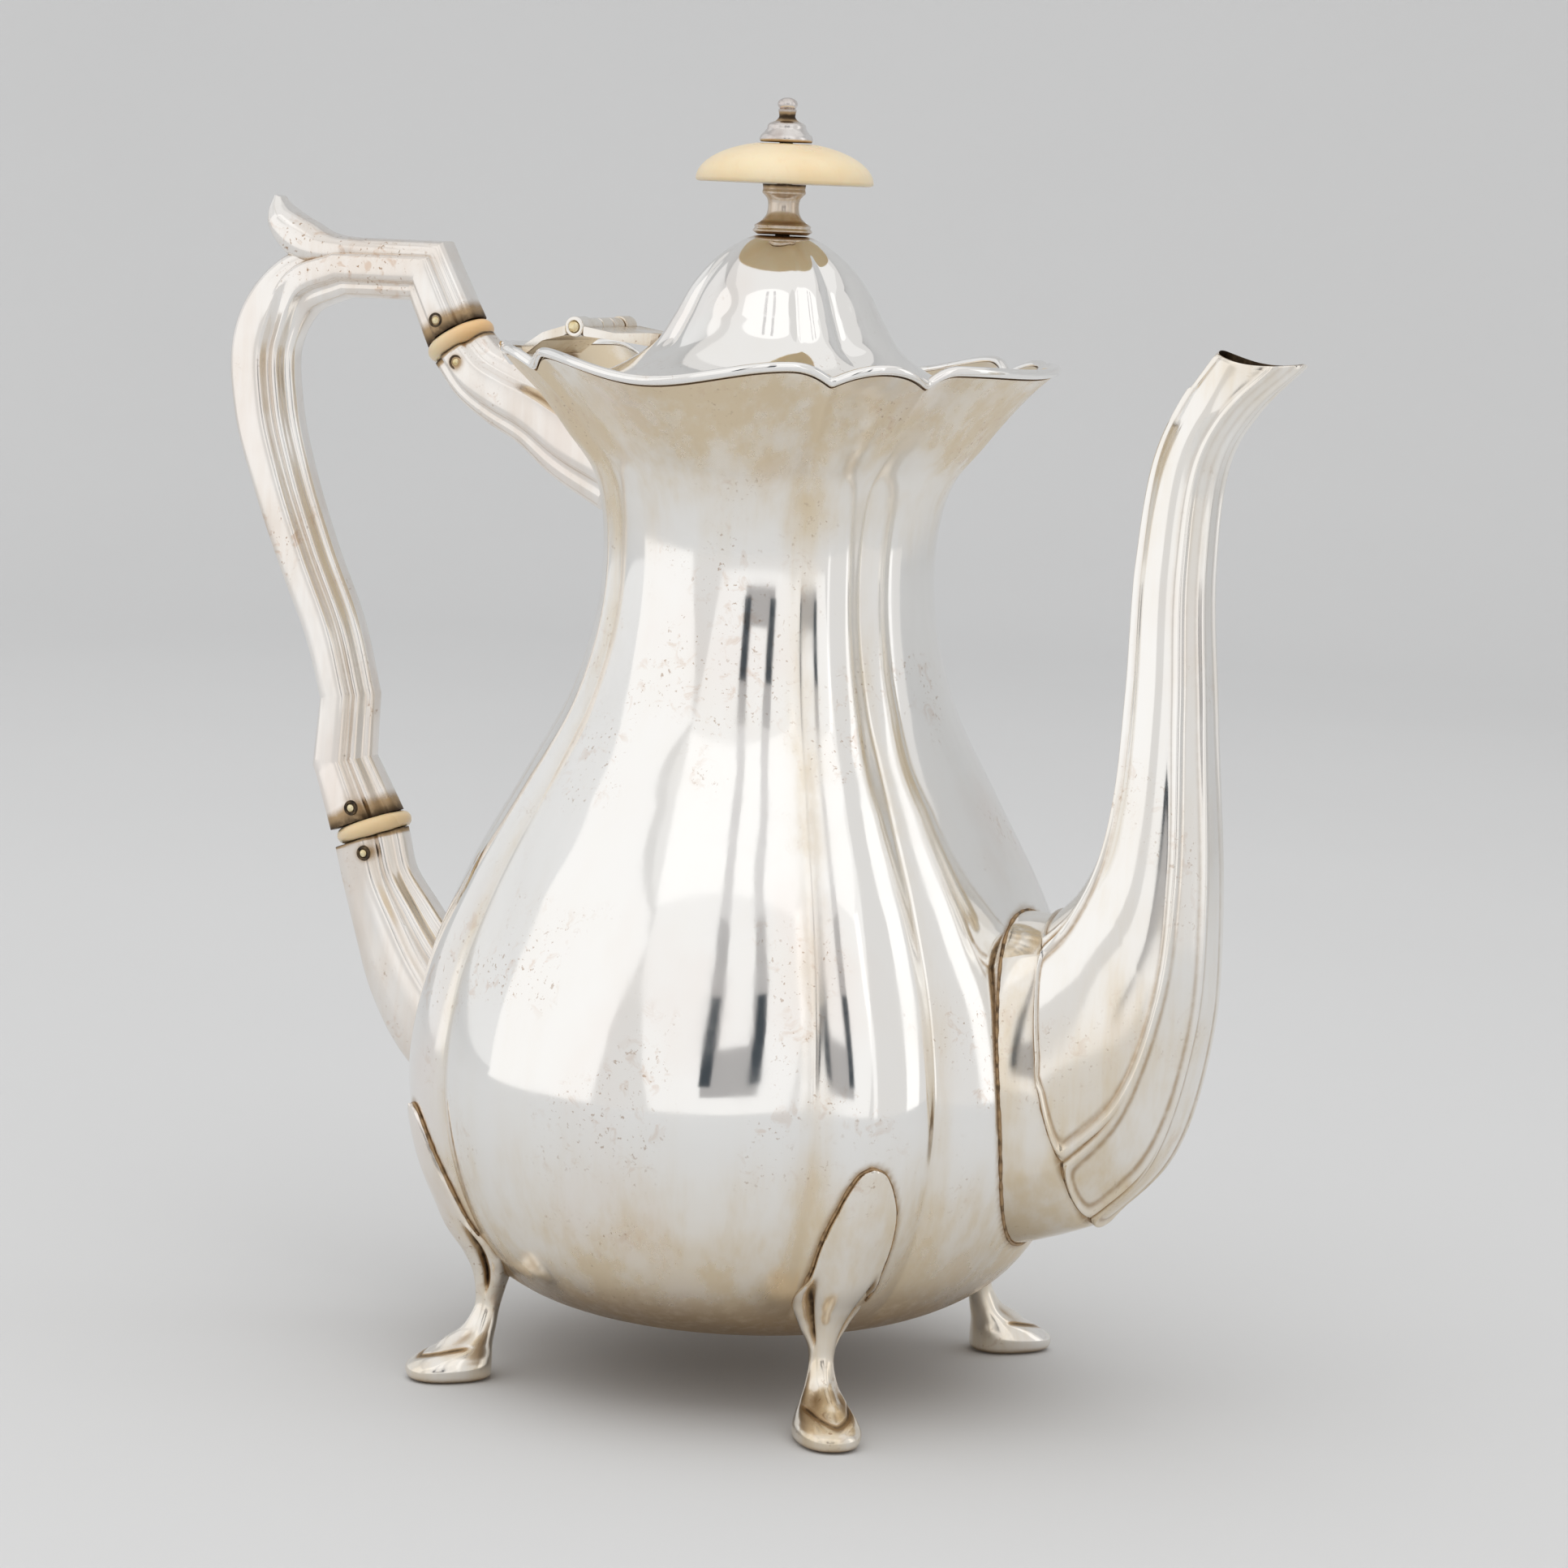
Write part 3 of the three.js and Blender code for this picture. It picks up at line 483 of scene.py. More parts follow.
SILVER = (0.955, 0.95, 0.935, 1)
WARM_TARNISH = (0.80, 0.68, 0.50, 1)
PINK_TARNISH = (0.90, 0.82, 0.77, 1)
BROWN_TARNISH = (0.44, 0.31, 0.18, 1)
SPECK_BROWN = (0.40, 0.26, 0.16, 1)
BLOOM_BROWN = (0.66, 0.47, 0.34, 1)
OXIDE = (0.06, 0.04, 0.025, 1)


def silver(name, tarnish_and_shade, spots, roughness=0.06, satin=0.16, warm=WARM_TARNISH):
    """Polished silver with drifting warm tarnish, brown specks, crevice dirt and hairline wear.

    The tarnish is a film that also dulls the polish, by as much as `satin`. On the body the film and the
    brown of the dirt layer also carry painted shade."""
    n = Nodes(name)
    # Tarnish, and on the body painted shade toward the base and beside the creases.
    layer = n.plus(n.attribute("tarnish_and_shade"), tarnish_and_shade)
    drift = n.ramp(n.noise(24, 4, 0.6), 0.30, 0.72, 0.35, 1.0)
    streak = n.ramp(n.noise(130, 4, 0.65, (1, 1, 0.10)), 0.35, 0.75, 0.55, 1.1)
    film = n.ramp(n.times(layer, drift, streak), 0.0, 0.75)
    base = n.mix(film, SILVER, warm)
    blush = n.ramp(n.noise(38, 3, 0.5, (1, 1, 0.6)), 0.52, 0.78, 0, 0.5)
    base = n.mix(blush, base, PINK_TARNISH)
    speck = n.ramp(n.noise(1000, 2, 0.6), 0.62, 0.72)
    patch = n.ramp(n.noise(48, 2, 0.5), 0.50, 0.66)
    base = n.mix(n.times(speck, patch, spots), base, SPECK_BROWN)
    bloom = n.ramp(n.noise(300, 3, 0.6, distortion=0.8), 0.55, 0.70, 0, 0.55)
    base = n.mix(n.times(bloom, patch, spots), base, BLOOM_BROWN)
    broken = n.ramp(n.noise(400, 3, 0.6), 0.25, 0.6, 0.75, 1.0)
    corner = n.times(n.ramp(n.crevice(2.6), 0.20, 0.75, 0, 0.9), broken)
    base = n.mix(corner, base, BROWN_TARNISH)
    # Dirt in seams and hollows, and on the body painted shade toward its base.
    seam = n.times(n.attribute("grime_and_shade"), broken)
    base = n.mix(n.ramp(seam, 0.02, 0.45), base, BROWN_TARNISH)
    base = n.mix(n.ramp(seam, 0.45, 0.95), base, OXIDE)
    cloud = n.ramp(n.noise(70, 4, 0.6), 0.35, 0.75, roughness, roughness + 0.06)
    crust = n.times(n.ramp(seam, 0.1, 0.8), 0.3)
    rough = n.plus(cloud, crust, n.times(corner, 0.1), n.times(film, satin))
    ripple = n.bump(n.noise(170, 2, 0.5, (1, 1, 0.07)), 0.05, 0.5)
    hammered = n.bump(n.noise(60, 2, 0.4), 0.10, 0.35, ripple)
    hairline = n.bump(n.noise(900, 3, 0.7, (1, 1, 0.2)), 0.006, 0.3, hammered)
    return n.surface({"Base Color": base, "Metallic": 1.0, "Roughness": rough, "Normal": hairline})


def ivory(name, shaded_glow):
    """Aged ivory: fine grain lines, a painted orange glow of light through it on its shaded side, and a soft
    polish.
    """
    n = Nodes(name)
    grain = n.noise(700, 3, 0.6, (1, 1, 0.25), 0.6)
    cloud = n.noise(60, 3, 0.5)
    base = n.mix(n.ramp(cloud, 0.35, 0.7), (0.80, 0.63, 0.38, 1), (0.82, 0.70, 0.48, 1))
    base = n.mix(n.ramp(grain, 0.52, 0.75, 0, 0.35), base, (0.78, 0.60, 0.36, 1))
    # Painted light: orange where light would glow through the ivory on its shaded side.
    base = n.mix(n.times(n.attribute("grime_and_shade"), shaded_glow), base, (0.72, 0.36, 0.08, 1))
    base = n.mix(n.ramp(n.crevice(2.0), 0.45, 0.95, 0, 0.6), base, (0.35, 0.20, 0.08, 1))
    return n.surface({
        "Base Color": base, "Roughness": n.ramp(cloud, 0.3, 0.7, 0.26, 0.38),
        "Normal": n.bump(grain, 0.02, 0.3), "Subsurface Weight": 0.25,
        "Subsurface Radius": (0.004, 0.002, 0.001), "Coat Weight": 0.25, "Coat Roughness": 0.15,
    })


def mottled(name, colours, spread, polish, relief=None, **fixed):
    """Two colours that drift into each other, with an uneven polish and relief where they are given.

    spread is a noise's scale and detail and the range of it that shows. polish is a noise's scale, the
    lowest and the highest roughness. relief is a noise's scale, height and strength."""
    n = Nodes(name)
    scale, detail, low, high = spread
    sockets = {key.replace("_", " "): value for key, value in fixed.items()}
    sockets["Base Color"] = n.mix(n.ramp(n.noise(scale, detail), low, high), *colours)
    if polish:
        sockets["Roughness"] = n.ramp(n.noise(polish[0], 3), 0.3, 0.7, *polish[1:])
    if relief:
        sockets["Normal"] = n.bump(n.noise(relief[0], 3), *relief[1:])
    return n.surface(sockets)


def painted(name, colour):
    """The matt paper and boards of the studio."""
    darker = tuple(0.985 * c for c in colour) + (1,)
    spread = (3, 3, 0.3, 0.7)
    return mottled(
        name, ((*colour, 1), darker), spread, None, Roughness=0.9, Specular_IOR_Level=0.1
    )


SHEET_SILVER = silver("sheet_silver", tarnish_and_shade=0.16, spots=0.6, satin=0.24)
CAST_SILVER = silver(
    "cast_silver", tarnish_and_shade=0.85, spots=1.0, roughness=0.12, satin=0.08, warm=(0.85, 0.78, 0.71, 1)
)
FOOT_SILVER = silver("foot_silver", tarnish_and_shade=0.7, spots=0.8, roughness=0.10, satin=0.10)
SPOUT_SILVER = silver("spout_silver", tarnish_and_shade=0.30, spots=0.4, roughness=0.07, satin=0.10)
LID_SILVER = silver("lid_silver", tarnish_and_shade=0.12, spots=0.3, roughness=0.045)
HINGE_SILVER = silver("hinge_silver", 0.55, 1.0, roughness=0.13, warm=(0.72, 0.58, 0.38, 1))
STEM_SILVER = silver("stem_silver", 1.0, 1.0, roughness=0.12, warm=(0.48, 0.34, 0.20, 1))
TIP_SILVER = silver("tip_silver", 0.8, 1.0, roughness=0.10, warm=(0.50, 0.42, 0.39, 1))
# The cap has no painted glow; the rings carry the painted orange glow of their shaded side.
CAP_IVORY = ivory("cap_ivory", 0.0)
RING_IVORY = ivory("ring_ivory", 0.6)
PIN_GOLD = mottled(
    "pin_gold", ((0.86, 0.76, 0.50, 1), (0.70, 0.55, 0.28, 1)), (500, 3, 0.4, 0.7),
    (800, 0.18, 0.4), (1200, 0.02, 0.4), Metallic=1.0,
)
# Brown tarnish and old polish that have dried in a seam, paler where it has been rubbed.
SEAM_BROWN = mottled(
    "seam_brown", ((0.12, 0.075, 0.04, 1), (0.42, 0.28, 0.15, 1)), (600, 4, 0.3, 0.6),
    (900, 0.35, 0.6), (1500, 0.05, 0.5), Metallic=0.6,
)
# The black-brown tarnish that fills a sunk ring.
RECESS_BLACK = mottled(
    "recess_black", ((0.035, 0.025, 0.018, 1), (0.16, 0.11, 0.06, 1)), (700, 4, 0.35, 0.7),
    (900, 0.4, 0.65), Metallic=0.7,
)
PAPER = painted("paper", (0.635, 0.64, 0.645))
DARK_BOARD = painted("dark_board", (0.05, 0.065, 0.08))
GREY_BOARD = painted("grey_board", (0.55, 0.54, 0.54))


# ------------ lobes of the body and the lid


def lobe_angles(wide_steps, narrow_steps):
    """Directions in degrees, with a column on every crease and more columns beside it."""
    lobes = []
    halves = (END_LOBE_HALF, SIDE_LOBE_HALF)
    for centre, (half, other) in zip((0, 90, 180, 270), (halves, halves[::-1]) * 2):
        lobes.append(crowded(centre - half, centre + half, wide_steps, 0.45))
        lobes.append(crowded(centre + half, centre + 90 - other, narrow_steps, 0.45))
    return np.concatenate(lobes)


def from_end(angle):
    """Degrees between a direction and the line from the spout to the handle."""
    turn = np.mod(angle, 180)
    return np.minimum(turn, 180 - turn)


def lobe_place(angle):
    """Masks of the end and side lobes, and 0 at the middle of a lobe to 1 at its creases."""
    turn = from_end(angle)
    end = turn <= END_LOBE_HALF
    side = 90 - turn <= SIDE_LOBE_HALF
    middle = (END_LOBE_HALF + 90 - SIDE_LOBE_HALF) / 2
    narrow_t = np.abs(turn - middle) / (middle - END_LOBE_HALF)
    side_t = (90 - turn) / SIDE_LOBE_HALF
    t = np.where(end, turn / END_LOBE_HALF, np.where(side, side_t, narrow_t))
    return end, side, np.clip(t, 0, 1)


# Places across a crease and their weights: shapes averaged over them have a filleted crease.
taps = np.linspace(-2, 2, 11)
tap_weights = np.exp(-(taps**2) / 1.2)
FILLET_TAPS = list(zip(taps, tap_weights / tap_weights.sum()))


def filleted(shape, angle, spread):
    """A shape of lobe_place's values, averaged across each crease. `spread` is in degrees."""
    return sum(weight * shape(*lobe_place(angle + tap * spread)) for tap, weight in FILLET_TAPS)


def lobe_factor(angle, radius, depth, fillet, narrow_peak=1.0):
    """How much smaller than the outline the radius is, with a filleted crease between lobes."""

    def shape(end, side, t):
        narrow = narrow_peak - (narrow_peak - 1 + depth) * t**2
        return np.where(end | side, 1 - depth * t**3, narrow)

    return filleted(shape, angle, np.degrees(fillet / np.maximum(radius, 8)))


def rim_wave(angle):
    """How far the rim rises above its level in each direction."""

    def shape(end, side, t):
        beside = RIM_CREST * (1 - ((t - CREST_AT) / (1 - CREST_AT)) ** 2)
        inner = lerp(np.where(end, END_DIP, SIDE_DIP), RIM_CREST, ease(t, 0, CREST_AT))
        wide = np.where(t > CREST_AT, beside, inner)
        return np.where(end | side, wide, RIM_CREST * (1 - t**2))

    return filleted(shape, angle, 0.5)


def on_body(angle, radius, z):
    """Points of the lobed body in given directions for points of its outline."""
    flare = ease(z, 160, RIM_HEIGHT)
    depth = lerp(lerp(0.045, 0.03, ease(z, 40, 100)), 0.07, flare) * ease(z, 17, 24)
    fillet = lerp(CREASE_FILLET, NECK_FILLET, ease(z, 70, 140))
    r = radius * lobe_factor(angle, radius, depth, fillet, 1 - 0.02 * flare)
    lift = rim_wave(angle) * ease(z, RIM_HEIGHT - RIM_WAVE_DEPTH, RIM_HEIGHT)
    return around(angle, r, z + lift)


body_outline = smooth(BODY_OUTLINE, OUTLINE_STEPS)
body_outline[0, 0] = AXIS_RADIUS
wall_outline = body_outline[2 * OUTLINE_STEPS :]  # the part where the height only grows


def outline_radius(z):
    return np.interp(z, wall_outline[:, 1], wall_outline[:, 0])


def body_rings(outline, angles):
    return on_body(angles[None, :], outline[:, :1], outline[:, 1:2])


def proud_of_body(points):
    """How far points stand out of the body's outer face."""
    z = np.clip(points[:, 2], 16, RIM_HEIGHT)
    return radius_of(points) - radius_of(on_body(angle_of(points), outline_radius(z), z))


# ------------ body, rim and seat


def crease_nearness(vertices, reach):
    """1 in the creases of the body, falling away over `reach` millimetres."""
    turn = from_end(angle_of(vertices))
    gap = np.minimum(np.abs(turn - END_LOBE_HALF), np.abs(turn - 90 + SIDE_LOBE_HALF))
    return bell(np.radians(gap) * radius_of(vertices), reach)


def build_body(seams):
    """The raised body. Each of the seams is its points, how far its dirt reaches and how dark it is."""
    angles = lobe_angles(84, 32)
    inside = offset(smooth(BODY_OUTLINE, 5), -WALL)[::-1]
    inside[-1, 0] = AXIS_RADIUS
    outer = dented(body_rings(body_outline, angles), 0.05, 22, 3)
    vertices, faces = shell(np.vstack([outer, body_rings(inside, angles)]))
    z = vertices[:, 2]
    # A faint dark line along each crease.
    grime_and_shade = 0.06 * crease_nearness(vertices, 0.5) * ease(z, 22, 40)
    # Painted shade: darker toward the base and on the underside, to deepen the shadow beneath the pot.
    grime_and_shade += 0.40 * (1 - ease(z, 16, 34))
    inner = slice(outer[..., 0].size, None)
    # The inside darker below the rim.
    grime_and_shade[inner] = 0.45 * (1 - ease(z[inner], 180, 190))
    for seam, reach, amount in seams:
        grime_and_shade = np.maximum(grime_and_shade, amount * nearness(vertices, seam, reach))
    # A warm film: heavier toward the base, tarnish on the flare under the rim, painted shade beside each
    # crease, and more toward one side.
    tarnish_and_shade = 0.85 * (1 - ease(z, 26, 64)) + 0.6 * ease(z, 158, 176)
    tarnish_and_shade += 0.5 * ease(z, 176, 186)
    # Painted shade: each crease darker and warmer over a few millimetres.
    tarnish_and_shade += 0.45 * crease_nearness(vertices, 3.0)
    tarnish_and_shade += 0.35 * ease(np.sin(np.radians(angle_of(vertices) - 40)), 0.2, 1.0)
    make_piece(
        "body_silver", "body_shell", SHEET_SILVER, (vertices, faces), grime_and_shade=grime_and_shade, tarnish_and_shade=tarnish_and_shade
    )


def build_rim_wire():
    angles = lobe_angles(64, 24)
    before, edge = body_outline[-2:]
    flare = unit(edge - before)
    reach = RIM_WIRE_RADIUS + 0.3
    radius = edge[0] - WALL / 2 * flare[1] + reach * flare[0]
    height = edge[1] + WALL / 2 * flare[0] + reach * flare[1]
    centre = on_body(angles, radius, height)
    turn = full_turn(14)[:, None, None]
    section = (RIM_WIRE_RADIUS + 0.15) * np.cos(turn) * around(angles, 1.0, 0.0)
    rings = centre + section + (RIM_WIRE_RADIUS + 0.05) * np.sin(turn) * np.array([0, 0, 1.0])
    make_piece("rim_silver", "rim_wire", LID_SILVER, shell(rings, wrap_rows=True))


def wall_radius(angles, z):
    """The body's outer radius at one height in each direction, with the rim's wave."""
    rings = body_rings(wall_outline, angles)
    radius = radius_of(rings)
    return np.array([np.interp(z, rings[:, k, 2], radius[:, k]) for k in range(len(angles))])


def build_seat_ring():
    low, high = (corner[2] for corner in box_mm("lid_seat_ring"))
    angles = lobe_angles(30, 12)
    section = (
        (SEAT_BORE, low + SEAT_BEVEL), (SEAT_BORE + SEAT_BEVEL, low),
        (wall_radius(angles, low) - WALL, low), (wall_radius(angles, high) - WALL, high),
        (SEAT_BORE + SEAT_BEVEL, high), (SEAT_BORE, high - SEAT_BEVEL),
    )
    ring = shell(np.stack([around(angles, radius, z) for radius, z in section]), wrap_rows=True)
    make_piece("seat_ring_silver", "lid_seat_ring", SHEET_SILVER, ring, sharp_angle=30)


# ------------ feet

foot_rows = smooth(FOOT_SECTIONS, 14)


def foot_angle(z):
    return np.radians(lerp(TOE_ANGLE, KNEE_ANGLE, np.minimum(z / 45, 1)))


def shield_points(z, across, lift):
    """Points that lie `lift` above the belly, `across` millimetres to the side of a foot's middle."""
    radius = outline_radius(z)
    turn = foot_angle(z) + across / radius
    radius, turn, z = np.broadcast_arrays(radius, turn, z)
    reach = radius_of(on_body(np.degrees(turn), radius, z)) + lift
    return np.stack([reach * np.cos(turn), reach * np.sin(turn), z], axis=-1)


def foot_points():
    """The skin of the foot that stands at +X and +Y, and how dirty it is."""
    turn = np.linspace(-math.pi, math.pi, 96, endpoint=False)[None, :]
    z, centre, half_length, half_width = (foot_rows[:, k : k + 1] for k in range(4))
    ahead = ease(np.cos(turn), -0.1, 0.4)
    beside = np.abs(turn)
    toe_crease = bell(z - 4.5 - 2.0 * np.abs(np.sin(turn)) ** 1.3, 0.42) * ahead
    knob = bell(turn, 0.36) * bell(z - 8.2, 1.35)
    tongue = bell(turn, 0.25) * bell(z - 11.5, 2.2)
    hollow = bell(beside - 0.85, 0.38) * bell(z - 8.2, 2.0)
    leg = ease(z, 15.5, 20)
    groove = bell(beside - 1.0, 0.17) * leg * (1 - ease(z, 27, 33))
    flange = FLANGE * bell(beside - 1.6, 0.4) * leg * (1 - ease(z, 26, 32))
    swell = 1 - 0.07 * toe_crease + 0.26 * knob + 0.08 * tongue - 0.17 * hollow - 0.34 * groove
    swell = swell + flange
    # The sole and the toe are fuller than an ellipse.
    swell = swell * (1 + 0.05 * np.sin(2 * turn) ** 2 * (1 - ease(z, 4, 8)))
    out = centre + half_length * np.cos(turn) * swell
    across = half_width * np.sin(turn) * swell
    angle = foot_angle(z)
    x = out * np.cos(angle) - across * np.sin(angle)
    y = out * np.sin(angle) + across * np.cos(angle)
    free = np.stack([x, y, np.broadcast_to(z, x.shape)], axis=-1)
    face = ease(np.cos(turn), 0.02, 0.34)
    proud = SHIELD_PROUD + 1.6 * (1 - ease(z, KNEE_START, 36)) * np.cos(turn)
    ridge = -0.9 * groove + 0.25 * bell(turn, 0.5)
    lift = lerp(-1.2, proud + ridge, face) - 1.5 * ease(-np.cos(turn), 0, 1)
    laid = shield_points(z, half_width * np.sin(turn) * (1 + flange), lift)
    points = lerp(free, laid, ease(z, KNEE_START, SHIELD_START)[..., None])
    dirt = 0.95 * groove + 0.75 * toe_crease + 0.30 * hollow
    dirt = dirt + bell(np.cos(turn) - 0.05, 0.12) * ease(z, KNEE_START, 29)
    return points, np.clip(dirt, 0, 1)


def foot_seam():
    """The line where the shield of the foot at +X and +Y lies down on the belly."""
    shield = foot_rows[foot_rows[:, 0] > KNEE_START + 2.5]
    z = shield[:, 0]
    across = shield[:, 3] + 0.15
    left, right = (shield_points(z, side * across, 0.12) for side in (1, -1))
    return np.vstack([left, right[::-1]])


def build_foot(name, front, side):
    """The foot at a corner, and the line of its seam."""
    place = np.array([front, side, 1.0])
    points, dirt = foot_points()
    make_piece(f"{name}_silver", name, FOOT_SILVER, shell(points * place), grime_and_shade=dirt)
    seam = foot_seam() * place
    make_piece(f"{name}_seam", None, SEAM_BROWN, seam_tube(seam, SEAM_RADIUS, closed=False))
    return seam


# ------------ spout

ridge_turns = np.radians([*SPOUT_RIDGES, *(360 - r for r in SPOUT_RIDGES[::-1])])
panel_edges = np.array([ridge_turns[-1] - 2 * math.pi, *ridge_turns, ridge_turns[0] + 2 * math.pi])
WIDE_PANEL = math.radians(80)
back_curve = smooth([(x, w, z) for x, z, _, _, w in SPOUT_STATIONS], 40)
front_curve = smooth([(x, 0, z) for _, _, x, z, _ in SPOUT_STATIONS], 40)


def panel_place(turn):
    """For a direction round the spout: how far across its panel it is, the panel's width and the
    distance in radians to the nearest ridge."""
    turn = np.mod(turn, 2 * math.pi)
    k = np.clip(np.searchsorted(panel_edges, turn, side="right") - 1, 0, len(panel_edges) - 2)
    start, end = panel_edges[k], panel_edges[k + 1]
    return (turn - start) / (end - start), end - start, np.minimum(turn - start, end - turn)


def along_curve(curve, v):
    place = np.clip(v, 0, 1) * (len(curve) - 1)
    return np.stack([np.interp(place, np.arange(len(curve)), axis) for axis in curve.T], axis=-1)


def body_face(y, z):
    """x on the body's outer face for a y and a height, by closing in on the direction."""
    radius = outline_radius(z)
    x = np.array(radius, float)
    for _ in range(8):
        reach = radius_of(on_body(np.degrees(np.arctan2(y, x)), radius, z))
        x = np.sqrt(np.maximum(reach**2 - y**2, 1))
    return x


def foot_of_spout(turn, inset):
    """y and z of the oval where the spout's skirt meets the body."""
    y = (SPOUT_BASE_HALF_WIDTH - inset) * np.sin(turn)
    return y, SPOUT_BASE_Z + (SPOUT_BASE_HALF_HEIGHT - inset) * np.cos(turn)


def spout_points(u, turn, inset):
    """Points of the spout's skin: `u` is 0 at the body, 1 at the first station and 2 at the mouth."""
    u, turn, inset = np.broadcast_arrays(u, turn, inset)
    v = np.maximum(u - 1, 0)
    back = along_curve(back_curve, v)
    front = along_curve(front_curve, v)
    half_width = back[..., 1] * 1.0
    back[..., 1] = 0
    middle = (back + front) / 2
    half = (back - front) / 2
    length = np.linalg.norm(half, axis=-1)
    across, width, _ = panel_place(turn)
    panel = 1 - 0.05 * np.sin(math.pi * across) * width / WIDE_PANEL
    grow = (length * panel - inset) / length
    pinch = 1 - 0.45 * ease(v, 0.85, 1) * (1 - np.cos(turn)) / 2
    point = middle + half * (grow * np.cos(turn))[..., None]
    point[..., 1] = (half_width * panel - inset) * np.sin(turn) * pinch
    y, z = foot_of_spout(turn, inset)
    at_body = np.stack([body_face(y, z) - 0.5, y, z], axis=-1)
    return np.where((u < 1)[..., None], lerp(at_body, point, np.minimum(u, 1)[..., None]), point)


def spout_turns():
    """Directions round the spout, with a column on every ridge and more columns beside it."""
    panels = zip(panel_edges[1:], panel_edges[2:])
    turns = [crowded(start, end, PANEL_STEPS, 0.35) for start, end in panels]
    return np.mod(np.concatenate(turns), 2 * math.pi)[None, :]


def scallop(turn):
    """Where the panelled spout starts: each panel bows toward the body, to a point at the sides."""
    across, width, _ = panel_place(turn)
    side_point = np.where(np.degrees(width) > 81.9, bell(across - 0.42, 0.045), 0)
    bow = np.sin(math.pi * across) ** 0.6 * width / WIDE_PANEL
    return 1.02 - 0.021 * bow - 0.0065 * side_point


def smooth_least(a, b, blend):
    """The smaller of two distances, rounded off where they are alike."""
    return -blend * np.log(np.exp(-a / blend) + np.exp(-b / blend))


def build_spout():
    turn = spout_turns()
    start = scallop(turn)
    mouth = 2.0 - 0.018 * np.sin(turn) ** 2
    rows = 250
    u = lerp(start, mouth, np.linspace(0, 1, rows)[:, None] ** 1.5)
    v = np.maximum(u - 1, 0)
    from_edge = (u - start) * SPOUT_LENGTH
    from_ridge = panel_place(turn)[2] * lerp(20, 7, ease(v, 0, 0.6))
    slim = lerp(1, 0.6, ease(v, 0.3, 1))
    # A bead frames each panel at the body, and the beads of two panels merge into one ridge above.
    apart = 1 - ease(v, 0.02, 0.2)
    from_frame = smooth_least(from_ridge, from_edge, 0.8) - FRAME_INSET * apart
    bead_width = lerp(RIDGE_HALF_WIDTH * slim, FRAME_HALF_WIDTH, apart)
    bead = lerp(RIDGE_HEIGHT * slim, FRAME_HEIGHT, apart) * bell(from_frame, bead_width)
    hood = 0.5 * ease(v, 0.905, 0.915) * ease(np.cos(turn), 0.55, 0.8)
    edge = 0.6 * (1 - ease(from_edge, 0, 0.35)) + 0.35 * (1 - ease(mouth - u, 0, 0.008))
    outer = spout_points(u, turn, -bead + hood + edge)
    inner_u = lerp(start, mouth, np.linspace(0, 1, 60)[:, None])
    inner = spout_points(inner_u, turn, WALL - 0.3 * (1 - ease(mouth - inner_u, 0, 0.01)))
    points = np.concatenate([outer, inner[::-1]])
    grime_and_shade = np.full(points.shape[:2], 0.9)
    hollow = 0.34 * bell(from_frame - 1.2, 0.6) * (1 - 0.6 * ease(v, 0.1, 0.5))
    between = 0.5 * bell(from_ridge, 0.35) * apart
    grime_and_shade[:rows] = np.maximum(np.maximum(0.8 * bell(from_edge, 0.35), hollow), between)
    tarnish_and_shade = np.full(points.shape[:2], 0.4)
    below = ease(-np.cos(turn), -0.6, 0.8)
    tarnish_and_shade[:rows] = 1.0 * (1 - ease(v, 0.0, 0.4)) * below + 0.25 * ease(v, 0.6, 0.95)
    spout = shell(points, wrap_rows=True)
    make_piece("spout_silver", "spout", SPOUT_SILVER, spout, grime_and_shade=grime_and_shade, tarnish_and_shade=tarnish_and_shade)


def build_spout_skirt():
    """The plain collar below the panels, the two seams of the spout, and the line of the one on the body."""
    turn = spout_turns()
    rows = 40
    u = np.linspace(-0.02, 1.015, rows)[:, None]
    u = np.maximum(np.minimum(u, scallop(turn) + 0.006), 0)
    bulge = 0.35 * np.sin(math.pi * np.clip(u, 0, 1)) ** 0.7
    outer = spout_points(u, turn, SKIRT_INSET - bulge)
    inner = spout_points(u, turn, SKIRT_INSET + WALL)
    points = np.concatenate([outer, inner[::-1]])
    grime_and_shade = np.full(points.shape[:2], 0.6)
    grime_and_shade[:rows] = np.maximum(0.6 * bell(u * 9.5, 0.4), 0.6 * bell((scallop(turn) - u) * 100, 0.8))
    tarnish_and_shade = np.broadcast_to(0.25 + 0.7 * ease(-np.cos(turn), -0.2, 0.9), grime_and_shade.shape)
    skirt = shell(points, wrap_rows=True)
    make_piece("spout_skirt_silver", "spout_skirt", SPOUT_SILVER, skirt, grime_and_shade=grime_and_shade, tarnish_and_shade=tarnish_and_shade)
    turn = full_turn(480)
    y, z = foot_of_spout(turn, SKIRT_INSET - 0.15)
    body_seam = np.stack([body_face(y, z) + 0.05, y, z], axis=-1)
    panel_seam = spout_points(scallop(turn) - 0.0015, turn, SKIRT_INSET - 0.2)
    seams = [seam_tube(path, SEAM_RADIUS) for path in (body_seam, panel_seam)]
    make_piece("spout_seam", None, SEAM_BROWN, *seams)
    return body_seam


# ------------ handle


def whole_section(half_section):
    """A bar's whole section from its moulding, which is mirrored."""
    half = smooth(half_section, 3)
    return np.vstack([half, half[1:-1][::-1] * np.array([1, -1])])


grip_section = whole_section(GRIP_MOULDING)
bar_section = whole_section(BAR_MOULDING)


